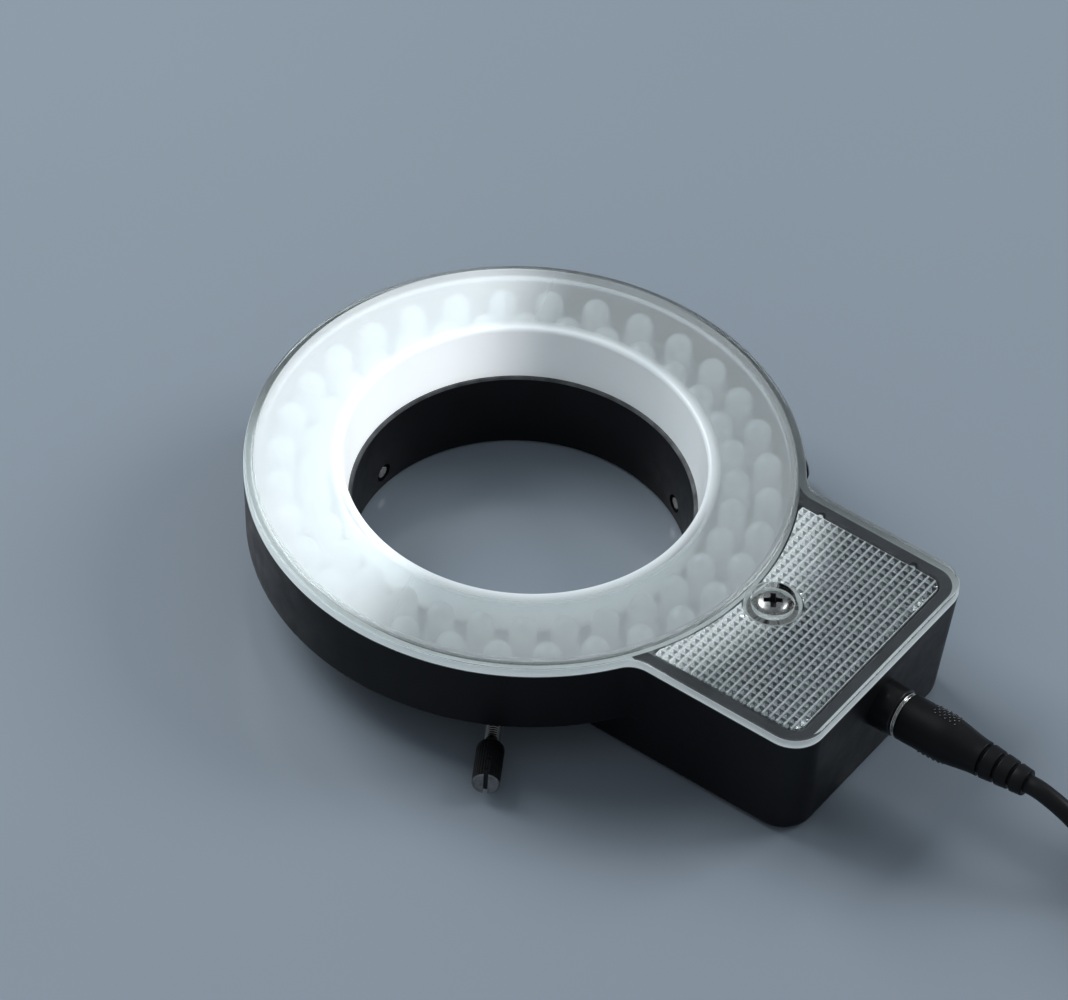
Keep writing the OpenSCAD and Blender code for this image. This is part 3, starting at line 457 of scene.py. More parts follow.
def place(piece, body, slot, *nodes, finishes=()):
    """The piece rides on a body, takes a slot's finish and stands for solids of the frame."""
    piece.data.materials.clear()
    for material in finishes or [FINISHES[slot]]:
        piece.data.materials.append(material)
    if piece.type == "MESH":
        piece.modifiers.new("flat_faces_stay_flat", "WEIGHTED_NORMAL").keep_sharp = True
    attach(piece, body)
    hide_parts(*nodes)
    count = len(piece.data.polygons) if piece.type == "MESH" else len(cord_route)
    print(piece.name, "rides on", body, "with", count, "faces" if piece.type == "MESH" else "points")
    return piece


def paint(piece, rule):
    """Gives each face one of the piece's finishes, by the number that a rule returns for it."""
    for face in piece.data.polygons:
        face.material_index = int(rule(face))
    numbers = [face.material_index for face in piece.data.polygons]
    print([numbers.count(k) for k in range(len(piece.data.materials))], "faces of each finish on", piece.name)


place(low_voltage_cord, "plug_and_cord", "cord_black", "cord_lead", "cord_coil", "cord_tail")

# %% [markdown]
# ## The housing
#
# Ring, box and collar are one moulding with sloping walls, hollow corners where the box meets the ring, and a rounded
# foot. It is skinned from levels of one outline, all with as many points, from the foot up to the joint with the
# cover. Then the bore, the trough for the lamps and the space for the driver are cut out, each with a chamfered mouth
# that catches a line of light. Ledge and mouths are scuffed and the flat joint is pressed grey, so these faces get
# finishes of their own. How steep a face is shows in the height of its normal: 1 if level, 0 on an upright wall.

# %% Measures of the housing
JOINT_Z = span("housing")[1].z
RING_R = -span("housing")[0].x
BOX_END = span("housing")[1].x
BOX_HW = 26.3
BORE_R, COLLAR_R = 30.5, 36.5
RING_UNDER_Z, UNDERSIDE_FALL = 9.8, 0.2
RING_DRAFT, BOX_DRAFT = math.tan(math.radians(3)), math.tan(math.radians(4.2))
RING_EDGE, FOOT_EDGE, RIM_EDGE = 1.2, 1.8, 0.2
CORNER_R, FILLET_R = 6, 5
TROUGH_IN, TROUGH_OUT, TROUGH_Z, LEDGE_Z = 33, 47.2, 11.8, 16.6
WALL, FLOOR = 3.4, 2.4
CAVITY_END, CAVITY_HW, CAVITY_R = BOX_END - WALL, BOX_HW - WALL, CORNER_R - WALL
CAVITY_START = COLLAR_R + FLOOR
BORE_CHAMFER, MOUTH_CHAMFER = 0.6, 0.3
HAIR_GAP = 0.03
PAST = 1
print("housing of", round(2 * RING_R, 1), "mm across the ring, joint at", round(JOINT_Z, 1), "mm")


# %% Outline of ring and box
RING_STEPS, CORNER_STEPS = 240, 10


def head_outline(r, hw, end, corner, z):
    """Ring and box at a height, joined by hollow corners."""
    fx = math.sqrt((r + FILLET_R) ** 2 - (hw + FILLET_R) ** 2)
    turn = math.degrees(math.atan2(hw + FILLET_R, fx))
    step = (360 - 2 * turn) / RING_STEPS
    points = arc(end - corner, corner - hw, corner, -90, 0, CORNER_STEPS)
    points += arc(end - corner, hw - corner, corner, 0, 90, CORNER_STEPS)
    points += arc(fx, hw + FILLET_R, FILLET_R, 270, 180 + turn, CORNER_STEPS)
    points += arc(0, 0, r, turn + step, 360 - turn - step, RING_STEPS - 2)
    points += arc(fx, -hw - FILLET_R, FILLET_R, 180 - turn, 90, CORNER_STEPS)
    return [(x, y, z) for x, y in points]


def housing_level(z, r, inset):
    """One level of the moulding; inset is what a rounded edge takes off the box."""
    fall = (JOINT_Z - z) * BOX_DRAFT + inset
    return head_outline(r, BOX_HW - fall, BOX_END - fall, CORNER_R - inset, z)


def quarter(steps=6):
    """Sine and cosine along a rounded edge."""
    angles = [math.pi / 2 * i / steps for i in range(steps + 1)]
    return [(math.sin(a), math.cos(a)) for a in angles]


def near_edge(r, h, edge, steps):
    """Rounded edge of a profile, from its end face at a height to its wall."""
    return [(r - edge * (1 - s), h + edge * (1 - c)) for s, c in quarter(steps)]


def far_edge(r, h, edge, steps):
    """Rounded edge of a profile, from its wall to its end face at a height."""
    return [(r - edge * (1 - c), h - edge * (1 - s)) for s, c in quarter(steps)]


levels = []
for s, c in quarter():
    inset = FOOT_EDGE * (1 - s)
    levels.append(housing_level(FOOT_EDGE * (1 - c), COLLAR_R - inset, inset))
levels.append(housing_level(RING_UNDER_Z - UNDERSIDE_FALL, COLLAR_R, 0))
for s, c in quarter():
    z = RING_UNDER_Z + RING_EDGE * (1 - c)
    levels.append(housing_level(z, RING_R - (JOINT_Z - z) * RING_DRAFT - RING_EDGE * (1 - s), 0))
for s, c in quarter(3):
    inset = RIM_EDGE * (1 - c)
    levels.append(housing_level(JOINT_Z - HAIR_GAP - RIM_EDGE * (1 - s), RING_R - inset, inset))
ring_housing = skin("ring_housing", levels)
print(len(levels), "levels of", len(levels[0]), "points")


# %% Cutters for the bore, the trough and the box
def box_outline(x0, x1, hw, r, z, steps=8):
    """A rectangle with round corners."""
    points = arc(x1 - r, r - hw, r, -90, 0, steps) + arc(x1 - r, hw - r, r, 0, 90, steps)
    points += arc(x0 + r, hw - r, r, 90, 180, steps) + arc(x0 + r, r - hw, r, 180, 270, steps)
    return [(x, y, z) for x, y in points]


bore_flare = BORE_R + BORE_CHAMFER + PAST
ledge_flare = BORE_R + MOUTH_CHAMFER + PAST
bore_cut = turned("bore_cut", [
    (0, -PAST), (bore_flare, -PAST), (BORE_R, BORE_CHAMFER), (BORE_R, LEDGE_Z - MOUTH_CHAMFER),
    (ledge_flare, LEDGE_Z + PAST), (0, LEDGE_Z + PAST)], steps=RING_STEPS)
trough_cut = turned("trough_cut", [
    (0, LEDGE_Z), (TROUGH_IN, LEDGE_Z), (TROUGH_IN, TROUGH_Z), (TROUGH_OUT, TROUGH_Z),
    (TROUGH_OUT, JOINT_Z - MOUTH_CHAMFER), (TROUGH_OUT + MOUTH_CHAMFER + PAST, JOINT_Z + PAST),
    (0, JOINT_Z + PAST)], steps=RING_STEPS)
cavity_flares = ((0, FLOOR), (0, JOINT_Z - MOUTH_CHAMFER), (MOUTH_CHAMFER + PAST, JOINT_Z + PAST))
cavity_cut = skin("cavity_cut", [box_outline(CAVITY_START, CAVITY_END + flare, CAVITY_HW + flare, CAVITY_R + flare, z)
                                 for flare, z in cavity_flares])
print("cutters for bore, trough and box")

# %% Cutters for the thumbscrews, the inlet and the panel's nibs
CLAMP_ANGLES = (60, 180, 300)
CLAMP_Z = 4
PASS_R, INSERT_R, INSERT_START = 1.8, 2.22, 32.1
NOSE_R, NOSE_GAP = 4.5, 0.05
NOTCH_R, NOTCH_DEPTH = 0.8, 1.4
NIB_XS = (48.2, 67.9)


def outward(azimuth, out=0):
    """Heights count outwards from the bore's axis, at the height of the thumbscrews."""
    c, s = polar(1, azimuth)
    return lambda x, y, z: ((z + out) * c - x * s, (z + out) * s + x * c, y + CLAMP_Z)


def drill(name, r, start, end, at=upright, steps=48):
    return turned(name, [(0, start), (r, start), (r, end), (0, end)], steps, at)


drills = [drill("nose_cut", NOSE_R + NOSE_GAP, CAVITY_END - PAST, BOX_END + PAST, along_plug)]
for azimuth in CLAMP_ANGLES:
    drills.append(drill("pass_cut", PASS_R, BORE_R - PAST, COLLAR_R, outward(azimuth)))
    drills.append(drill("seat_cut", INSERT_R, INSERT_START, COLLAR_R + PAST, outward(azimuth)))
for x in NIB_XS:
    drills.append(drill("notch_cut", NOTCH_R, JOINT_Z - NOTCH_DEPTH, JOINT_Z + PAST, standing_at(x, CAVITY_HW)))
combine(ring_housing, [bore_cut, trough_cut, cavity_cut] + drills, "DIFFERENCE")
print(len(drills), "drilled holes")

# %% Posts and rests inside the housing
POST_X, POST_R, POST_TOP = 53.6, 4.6, 22.4
STANDOFF_XS, STANDOFF_Y, STANDOFF_R, STANDOFF_TOP = (43.5, 70.1), 18.3, 3, 7.6
REST_ANGLES = (35, 80, 130, 180, 230, 280, 325)
REST_CIRCLE_R, REST_R, REST_TOP = 40.1, 1.5, 14.3
on_post = standing_at(POST_X, 0)
posts = [drill("post", POST_R, FLOOR - PAST, POST_TOP, on_post)]
for x in STANDOFF_XS:
    for y in (-STANDOFF_Y, STANDOFF_Y):
        posts.append(drill("standoff", STANDOFF_R, FLOOR - PAST, STANDOFF_TOP, standing_at(x, y)))
for azimuth in REST_ANGLES:
    spot = standing_at(*polar(REST_CIRCLE_R, azimuth))
    posts.append(drill("rest", REST_R, TROUGH_Z - PAST, REST_TOP, spot, steps=24))
ring_housing = join("ring_housing", [ring_housing] + posts)
place(ring_housing, "lamp_head", "housing_black", "housing",
      finishes=[FINISHES["housing_black"], SCUFFED_BLACK, PRESSED_JOINT])

# %% Scuffed and pressed faces of the housing
RIM_NZ, JOINT_NZ = 0.3, 0.95


def housing_finish(face):
    """The pressed joint, the scuffed ledge and mouths, or the plain moulding."""
    corners = [ring_housing.data.vertices[i].co / MM for i in face.vertices]
    lowest, reach = min(c.z for c in corners), max(math.hypot(c.x, c.y) for c in corners)
    on_ledge = lowest > LEDGE_Z - MOUTH_CHAMFER - HAIR_GAP and reach < TROUGH_IN + HAIR_GAP
    on_rim = lowest > JOINT_Z - MOUTH_CHAMFER - HAIR_GAP and face.normal.z > RIM_NZ
    return 2 if on_rim and face.normal.z > JOINT_NZ else on_ledge or on_rim


paint(ring_housing, housing_finish)

# %% [markdown]
# ## The cover
#
# The cover is one clear moulding: a flange over ring and box, a raised ring that is frosted from below, and a skirt
# that leans into the bore. The flange is skinned with rounded edges, the ring is turned, and both are united into one
# solid so that light meets no wall inside the acrylic. The frosted faces then get a finish of their own, and so do
# the matt ones: the outer edge, the strips that rest on the housing and the boss for the screw.

# %% Flange
FLANGE_T = 2.1
COVER_Z = JOINT_Z + FLANGE_T
FROST_Z = span("cover")[1].z
FROST_OUT = RING_R - 1.9
RISE = FROST_Z - COVER_Z
SHOULDER_OUT = FROST_OUT + RISE
EDGE_TOP, EDGE_LOW = 0.5, 0.15
LIP_OUT, LIP_IN, LIP_LARGEST = 0.4, 1.25, 60


def flange_level(z, inset):
    return head_outline(RING_R - inset, BOX_HW - inset, BOX_END - inset, CORNER_R - inset, z)


flange_levels = [flange_level(JOINT_Z, LIP_IN), flange_level(JOINT_Z, LIP_OUT)]
flange_levels += [flange_level(JOINT_Z + EDGE_LOW * (1 - c), EDGE_LOW * (1 - s)) for s, c in quarter(3)]
flange_levels += [flange_level(COVER_Z - EDGE_TOP * (1 - s), EDGE_TOP * (1 - c)) for s, c in quarter(5)]
clear_cover = skin("clear_cover", flange_levels)
inner_r = (TROUGH_OUT + SHOULDER_OUT) / 2
ring_cut = drill("ring_cut", inner_r, JOINT_Z - PAST, COVER_Z + PAST, steps=RING_STEPS)
combine(clear_cover, [ring_cut], "DIFFERENCE")
print("flange of", len(flange_levels), "levels")

# %% Frosted ring with its skirt, and the boss for the screw
SKIRT_TOP, SKIRT_FOOT, SKIRT_T = 32.4, 31.25, 1.6
FROST_T = 1.9
RECESS_R, RECESS_Z, BOSS_R, BOSS_Z, SCREW_HOLE_R = 4, 24.0, 5.2, 22.4, 1.65
section = [(TROUGH_OUT, JOINT_Z), (SHOULDER_OUT, JOINT_Z)]
section += arc(SHOULDER_OUT, FROST_Z, RISE, 270, 180, 8)
section += arc(SKIRT_TOP + RISE, COVER_Z, RISE, 90, 180, 8)
section += [
    (SKIRT_FOOT, LEDGE_Z), (SKIRT_FOOT + SKIRT_T, LEDGE_Z),
    (SKIRT_TOP + SKIRT_T, FROST_Z - FROST_T), (TROUGH_OUT, FROST_Z - FROST_T)]
frost_ring = turned("frost_ring", section, steps=RING_STEPS, ring=True)
boss = drill("boss", BOSS_R, BOSS_Z, JOINT_Z + FLANGE_T / 2, on_post, steps=96)
combine(clear_cover, [frost_ring, boss], "UNION")
recess = drill("recess", RECESS_R, RECESS_Z, COVER_Z + PAST, on_post, steps=96)
screw_hole = drill("screw_hole", SCREW_HOLE_R, BOSS_Z - PAST, RECESS_Z + PAST, on_post)
combine(clear_cover, [recess, screw_hole], "DIFFERENCE")
print("ring section of", len(section), "points")

# %% Frosted and matt faces of the cover
WALL_NZ, EDGE_NZ, FLAT_NZ = 0.5, 0.7, 0.9


def from_screw(point):
    """Distance of a point in millimetres from the axis of the cover's screw."""
    return math.hypot(point.x - POST_X, point.y)


def on_boss(face, corners):
    """The outer wall and the foot of the boss for the screw, under the flange."""
    spread = [from_screw(c) for c in corners]
    on_wall = min(spread) > BOSS_R - HAIR_GAP and abs(face.normal.z) < WALL_NZ
    return max(spread) < BOSS_R + HAIR_GAP and (on_wall or face.normal.z < -WALL_NZ)


def on_lip(face, nearest):
    """The matt strips under the flange and under the ring's shoulder that rest on the housing."""
    flat = face.normal.z < -FLAT_NZ and abs(face.center.z / MM - JOINT_Z) < HAIR_GAP
    return flat and face.area < LIP_LARGEST * MM ** 2 and nearest > TROUGH_OUT - HAIR_GAP


def on_edge(face, nearest):
    """The flange's outer edge; the boss is the only other upright wall out there."""
    by_screw = from_screw(face.center / MM) < BOSS_R + HAIR_GAP
    return nearest > SHOULDER_OUT + HAIR_GAP and abs(face.normal.z) < EDGE_NZ and not by_screw


def cover_finish(face):
    corners = [clear_cover.data.vertices[i].co / MM for i in face.vertices]
    reach = [math.hypot(c.x, c.y) for c in corners]
    if max(reach) < FROST_OUT + HAIR_GAP:
        return 1
    matt = on_edge(face, min(reach)) or on_lip(face, min(reach)) or on_boss(face, corners)
    return 2 if matt else 0


place(clear_cover, "lamp_head", "cover_clear", "cover", finishes=[FINISHES["cover_clear"], FROSTED, EDGE_ACRYLIC])
paint(clear_cover, cover_finish)

# %% [markdown]
# ## The prism panel
#
# Under the window over the box hangs a clear plate whose underside is a field of small square pyramids. A bump map
# could suggest them, but only real facets bend and throw back the light as these do, so each pyramid is built. The
# narrow lands between them, and the strips above them on the upper face, are a bright matt white: painted bright
# lines that stand for the light the prisms throw back.
# The plate is then trimmed along the ring's arc, round the screw's boss and at its round corners.

# %% Field of pyramids
PITCH, PLATE_T, PRISM_DEPTH = 1.5, 0.4, 0.75
LAND_ACROSS, LAND_ALONG, LAND_NZ = 0.34, 0.1, 0.99
SIDE_GAP, END_GAP = 0.4, 0.3
panel_low, panel_high = span("prism_panel")
PANEL_TOP = panel_high.z - HAIR_GAP
PANEL_UNDER = PANEL_TOP - PLATE_T
PANEL_HW, PANEL_END = CAVITY_HW - SIDE_GAP, CAVITY_END - END_GAP
COLUMNS = int(2 * PANEL_HW / PITCH)
ROWS = round((PANEL_END - panel_low.x) / PITCH)
FIELD_HW = COLUMNS * PITCH / 2


def stops(start, count, land):
    """Where the pyramids of a line begin and end, with a narrow flat land between them."""
    edges = [start]
    for i in range(count):
        edges += [start + i * PITCH + land / 2, start + (i + 1) * PITCH - land / 2]
    return edges + [start + count * PITCH]


def pyramid_field():
    xs = stops(PANEL_END - ROWS * PITCH, ROWS, LAND_ACROSS)
    ys = stops(-FIELD_HW, COLUMNS, LAND_ALONG)
    n = len(ys)
    points = [(x, y, PANEL_UNDER) for x in xs for y in ys]
    faces = []
    for i in range(len(xs) - 1):
        for j in range(n - 1):
            quad = (i * n + j, (i + 1) * n + j, (i + 1) * n + j + 1, i * n + j + 1)
            if i % 2 and j % 2:
                points.append(((xs[i] + xs[i + 1]) / 2, (ys[j] + ys[j + 1]) / 2, PANEL_UNDER - PRISM_DEPTH))
                faces += [(quad[k], quad[(k + 1) % 4], len(points) - 1) for k in range(4)]
            else:
                faces.append(quad)
    m, top = len(xs), len(points)
    points += [(x, y, PANEL_TOP) for x in xs for y in ys]
    for i in range(m - 1):
        faces += [[top + i * n + j, top + (i + 1) * n + j, top + (i + 1) * n + j + 1, top + i * n + j + 1]
                  for j in range(n - 1)]
    near, first = [i * n for i in range(m)], list(range(n))
    for line in (near, [i + n - 1 for i in near], first, [near[-1] + j for j in first]):
        faces.append(line + [top + k for k in line[::-1]])
    return solid("prism_window", points, faces)


def near_line(pitches, land):
    """Whether a distance, counted in pitches, ends on a land."""
    return abs(pitches - round(pitches)) < land / PITCH / 2


def on_land(face):
    """The flat strips between the pyramids, and the same strips on the upper face, which are painted bright."""
    across = near_line((PANEL_END - face.center.x / MM) / PITCH, LAND_ACROSS)
    along = near_line((FIELD_HW - face.center.y / MM) / PITCH, LAND_ALONG)
    return face.normal.z < -LAND_NZ or (face.normal.z > LAND_NZ and (across or along))


prism_window = pyramid_field()
print(ROWS, "by", COLUMNS, "pyramids")

# %% Trimming the panel
PANEL_GAP = 0.3
NIB_R = 0.5
low_z, high_z = PANEL_UNDER - 2 * PRISM_DEPTH, PANEL_TOP + PAST
arc_cut = drill("arc_cut", SHOULDER_OUT + PANEL_GAP, low_z, high_z, steps=RING_STEPS)
boss_cut = drill("boss_cut", BOSS_R + PANEL_GAP, low_z, high_z, on_post)
combine(prism_window, [arc_cut, boss_cut], "DIFFERENCE")
blank = skin("blank", [box_outline(0, PANEL_END, FIELD_HW, CAVITY_R - PANEL_GAP, z) for z in (low_z, high_z)])
combine(prism_window, [blank], "INTERSECT")
nibs = [drill("nib", NIB_R, PANEL_UNDER, PANEL_TOP, standing_at(x, FIELD_HW), steps=24) for x in NIB_XS]
combine(prism_window, nibs, "UNION")
shade(prism_window, sharp=1)
place(prism_window, "lamp_head", "prism_clear", "prism_panel", finishes=[FINISHES["prism_clear"], PAINTED_BRIGHT_LAND])
paint(prism_window, on_land)

# %% [markdown]
# ## The lamps
#
# Two staggered rows of domed lamps stand under the frosted ring, each with the small metal cup of its lead frame
# inside. In the photograph the far-left half of the ring is switched on and glows white, while the other half is dark
# and shows its domes as soft grey circles. So each row is one mesh with three finishes: epoxy that lets light
# through with a faint painted glow, epoxy that glows as a lit lamp, and nickel for the cups.

# %% Rows of lamps
LAMP_Z = span("outer_lamps")[0].z
LAMP_TOP = span("outer_lamps")[1].z
LAMP_R, LAMP_RIM_R, LAMP_RIM_Z = 2.5, 2.9, LAMP_Z + 1
LAMP_COUNT, LAMP_PHASE = 32, 7.5
OUTER_ROW_R, INNER_ROW_R = 43.6, 37.6
STEM_R, STEM_Z = 0.4, LAMP_Z + 0.3
CUP_Z, CUP_R, CUP_WALL = LAMP_Z + 4.6, 0.95, 0.2
CUP_H, CUP_RIM_H, CUP_DEPTH = 1.2, 0.5, 0.4
lamp_profile = [(0, LAMP_Z), (LAMP_RIM_R, LAMP_Z), (LAMP_RIM_R, LAMP_RIM_Z), (LAMP_R, LAMP_RIM_Z)]
lamp_profile += arc(0, LAMP_TOP - LAMP_R, LAMP_R, 0, 90, 8)
cup_profile = [
    (0, STEM_Z), (STEM_R, STEM_Z), (STEM_R, CUP_Z - CUP_H), (CUP_R, CUP_Z - CUP_RIM_H), (CUP_R, CUP_Z),
    (CUP_R - CUP_WALL, CUP_Z), (STEM_R, CUP_Z - CUP_DEPTH), (0, CUP_Z - CUP_DEPTH)]


def lamp_row(name, node, row_r, phase):
    lamps = []
    for i in range(LAMP_COUNT):
        spot = standing_at(*polar(row_r, phase + i * 360 / LAMP_COUNT))
        lamps += [turned("lamp", lamp_profile, steps=24, at=spot), turned("cup", cup_profile, steps=16, at=spot)]
    lamp_faces, cup_faces = [len(piece.data.polygons) for piece in lamps[:2]]
    row = join(name, lamps)
    place(row, "lamp_head", "lamp_epoxy", node, finishes=[FINISHES["lamp_epoxy"], LIT_EPOXY, FINISHES["nickel"]])

    def lamp_finish(face):
        azimuth = math.degrees(math.atan2(face.center.y, face.center.x)) % 360
        in_cup = face.index % (lamp_faces + cup_faces) >= lamp_faces
        return 2 if in_cup else LIT_FROM < azimuth < LIT_TO
    paint(row, lamp_finish)


lamp_row("outer_lamp_row", "outer_lamps", OUTER_ROW_R, LAMP_PHASE)
lamp_row("inner_lamp_row", "inner_lamps", INNER_ROW_R, LAMP_PHASE + 180 / LAMP_COUNT)

# %% [markdown]
# ## Screws
#
# The cover's screw is a pan head whose cross recess is painted dark, as the shade in it. The thumbscrews are M3 studs
# with slender black heads that are knurled along their length, slotted for a screwdriver and bare on the end face.
# Thread and knurl are real geometry: the thread is a small trapezium swept along a helix round a core, and the knurl
# is a zigzag in the rows of the head.

# %% Cover screw
HEAD_R, HEAD_H, DOME, HEAD_EDGE = 2.8, 2.1, 0.8, 0.15
SCREW_R, SCREW_L, SCREW_TIP = 1.5, 12, 0.4
CROSS_W, CROSS_L, CROSS_DEPTH, CROSS_TURN = 1.0, 3.5, 1.7, 35
CROSS_HOLE, CROSS_TAPER, CROSS_TIP, PAINTED_SHADE_BELOW = 1.0, 0.6, 0.3, 0.15
head = [(0, -SCREW_L), (SCREW_R - SCREW_TIP, -SCREW_L), (SCREW_R, -SCREW_L + SCREW_TIP), (SCREW_R, 0)]
head += [(HEAD_R - HEAD_EDGE, 0), (HEAD_R, HEAD_EDGE)]
head += [(HEAD_R * c, HEAD_H - DOME + DOME * s) for s, c in quarter(8)]
pan_screw = turned("pan_screw", [(r, RECESS_Z + h) for r, h in head], steps=48, at=on_post)


def cross_arm(turn):
    """A blade of the cross recess, narrower at its foot."""
    a = math.radians(turn)
    rows = []
    for h, shrink in ((HEAD_H + PAST, 1), (HEAD_H, 1), (HEAD_H - CROSS_DEPTH, CROSS_TAPER)):
        hl, hw = CROSS_L / 2 * shrink, CROSS_W / 2 * (1 + shrink) / 2
        flat = [(-hl, -hw), (hl, -hw), (hl, hw), (-hl, hw)]
        rows.append([(POST_X + x * math.cos(a) - y * math.sin(a), x * math.sin(a) + y * math.cos(a), RECESS_Z + h)
                     for x, y in flat])
    return skin("cross_arm", rows)


def in_recess(face):
    """Faces of the cross under the head's dome, which take the painted shade of the recess."""
    out = from_screw(face.center / MM)
    dome_z = RECESS_Z + HEAD_H - DOME + DOME * math.sqrt(max(0, 1 - (out / HEAD_R) ** 2))
    return out < CROSS_L / 2 and RECESS_Z < face.center.z / MM < dome_z - PAINTED_SHADE_BELOW


hole = [(0, HEAD_H - CROSS_DEPTH - CROSS_TIP), (CROSS_HOLE * CROSS_TAPER, HEAD_H - CROSS_DEPTH)]
hole += [(CROSS_HOLE, HEAD_H + PAST), (0, HEAD_H + PAST)]
centre_hole = turned("centre_hole", [(r, RECESS_Z + h) for r, h in hole], steps=32, at=on_post)
combine(pan_screw, [cross_arm(CROSS_TURN), cross_arm(CROSS_TURN + 90), centre_hole], "DIFFERENCE")
place(pan_screw, "lamp_head", "nickel", "cover_screw", finishes=[DULL_NICKEL, PAINTED_SHADE_RECESS])
paint(pan_screw, in_recess)

# %% Threaded studs
STUD_TIP, STUD_END, STUD_R, STUD_CHAMFER = 30.7, 52.0, 1.5, 0.15
TURNED_OUT = (0, 0, 0.9)
THREAD_PITCH, THREAD_DEPTH, THREAD_RUNOUT, TURN_STEPS = 0.5, 0.27, 0.5, 20
THREAD_FOOT_HW, CREST_HW, THREAD_SUNK, CORE_OVER = 0.24, 0.06, 0.1, 0.01


def thread_row(i, at):
    """Cross-section of the thread after i steps of a turn."""
    a = math.tau * i / TURN_STEPS
    h = STUD_TIP + THREAD_RUNOUT + THREAD_PITCH * i / TURN_STEPS
    root = STUD_R - THREAD_DEPTH
    shape = [(root - THREAD_SUNK, -THREAD_FOOT_HW), (root, -THREAD_FOOT_HW), (STUD_R, -CREST_HW),
             (STUD_R, CREST_HW), (root, THREAD_FOOT_HW), (root - THREAD_SUNK, THREAD_FOOT_HW)]
    return [at(r * math.cos(a), r * math.sin(a), h + dh) for r, dh in shape]


def threaded_stud(number, at):
    root = STUD_R - THREAD_DEPTH + CORE_OVER
    core = turned("core", [(0, STUD_TIP), (root - STUD_CHAMFER, STUD_TIP), (root, STUD_TIP + STUD_CHAMFER),
                           (root, STUD_END), (0, STUD_END)], steps=40, at=at)
    steps = int((STUD_END - STUD_TIP - 2 * THREAD_RUNOUT) / THREAD_PITCH * TURN_STEPS)
    thread = skin("thread", [thread_row(i, at) for i in range(steps + 1)])
    stud = join(f"thumbscrew_stud_{number}", [core, thread])
    place(stud, f"clamp_screw_{number}", "stud_steel", f"clamp_stud_{number}")


for number, azimuth in enumerate(CLAMP_ANGLES, 1):
    threaded_stud(number, outward(azimuth, TURNED_OUT[number - 1]))

# %% Knurled heads
KNOB_START, KNOB_END, KNOB_R = 47.3, 56.5, 2.5
KNOB_BORE_R, KNOB_BORE_L = 1.55, 5
SHOULDER, KNOB_CHAMFER, BARE_DEPTH = 0.9, 0.25, 0.2
KNURL_RIDGES, KNURL_DEPTH, KNURL_RUN, PLAIN_NEAR, PLAIN_FAR = 32, 0.16, 0.2, 0.4, 0.6
SLOT_W, SLOT_DEPTH = 0.8, 1.2


def knurled_row(r, h, depth, at):
    steps = 2 * KNURL_RIDGES
    radii = [r - depth * (i % 2) for i in range(steps)]
    angles = [math.tau * i / steps for i in range(steps)]
    return [at(q * math.cos(a), q * math.sin(a), h) for q, a in zip(radii, angles)]


def knurled_head(number, azimuth):
    out = TURNED_OUT[number - 1]
    at = outward(azimuth, out)
    bore_end, near, far = KNOB_START + KNOB_BORE_L, KNOB_START + SHOULDER + PLAIN_NEAR, KNOB_END - PLAIN_FAR
    stations = [(0, bore_end, 0), (KNOB_BORE_R, bore_end, 0), (KNOB_BORE_R, KNOB_START, 0)]
    stations += [(r, h, 0) for r, h in near_edge(KNOB_R, KNOB_START, SHOULDER, 5)]
    stations += [(KNOB_R, near, 0), (KNOB_R, near + KNURL_RUN, KNURL_DEPTH), (KNOB_R, far - KNURL_RUN, KNURL_DEPTH),
                 (KNOB_R, far, 0), (KNOB_R, KNOB_END - KNOB_CHAMFER, 0), (KNOB_R - KNOB_CHAMFER, KNOB_END, 0),
                 (0, KNOB_END, 0)]
    knob = skin(f"thumbscrew_head_{number}", [knurled_row(r, h, depth, at) for r, h, depth in stations])
    hw, reach = SLOT_W / 2, KNOB_R + PAST
    flat = [(-hw, -reach), (hw, -reach), (hw, reach), (-hw, reach)]
    slot = skin("slot", [[at(x, y, h) for x, y in flat] for h in (KNOB_END - SLOT_DEPTH, KNOB_END + PAST)])
    combine(knob, [slot], "DIFFERENCE")
    place(knob, f"clamp_head_{number}", "knob_black", f"clamp_knob_{number}",
          finishes=[FINISHES["knob_black"], BARE_STEEL])
    bare_from = (KNOB_END + out - BARE_DEPTH) * MM
    paint(knob, lambda face: math.hypot(face.center.x, face.center.y) > bare_from)


for number, azimuth in enumerate(CLAMP_ANGLES, 1):
    knurled_head(number, azimuth)

# %% [markdown]
# ## Inlet and plug
#
# A round black nose stands out of the box's end, and the plug seats against it: a thin bright collar, a grip that
# tapers into three ribs, and patches of small dots for the fingers on two sides. All of it is turned about one axis;
# the dots are little domes set on the grip in staggered rows.

# %% Inlet socket
INLET_GAP, INLET_HW = 0.2, 4.7
INLET_START, INLET_END = span("inlet_body")[0].x, CAVITY_END - INLET_GAP
INLET_LOW, INLET_HIGH = span("inlet_body")[0].z, span("inlet_body")[1].z
NOSE_END = span("inlet_body")[1].x
SOCKET_R, SOCKET_END, NOSE_EDGE = 3.15, 70.1, 0.35
block = [(-INLET_HW, INLET_LOW), (INLET_HW, INLET_LOW), (INLET_HW, INLET_HIGH), (-INLET_HW, INLET_HIGH)]
inlet_socket = skin("inlet_socket", [[(x, y, z) for y, z in block] for x in (INLET_START, INLET_END)])
nose_profile = [(0, INLET_END - PAST), (NOSE_R, INLET_END - PAST)]
nose_profile += far_edge(NOSE_R, NOSE_END, NOSE_EDGE, 4)
nose = turned("nose", nose_profile + [(0, NOSE_END)], steps=64, at=along_plug)
combine(inlet_socket, [nose], "UNION")
combine(inlet_socket, [drill("socket", SOCKET_R, SOCKET_END, NOSE_END + PAST, along_plug)], "DIFFERENCE")
place(inlet_socket, "lamp_head", "inlet_black", "inlet_body")

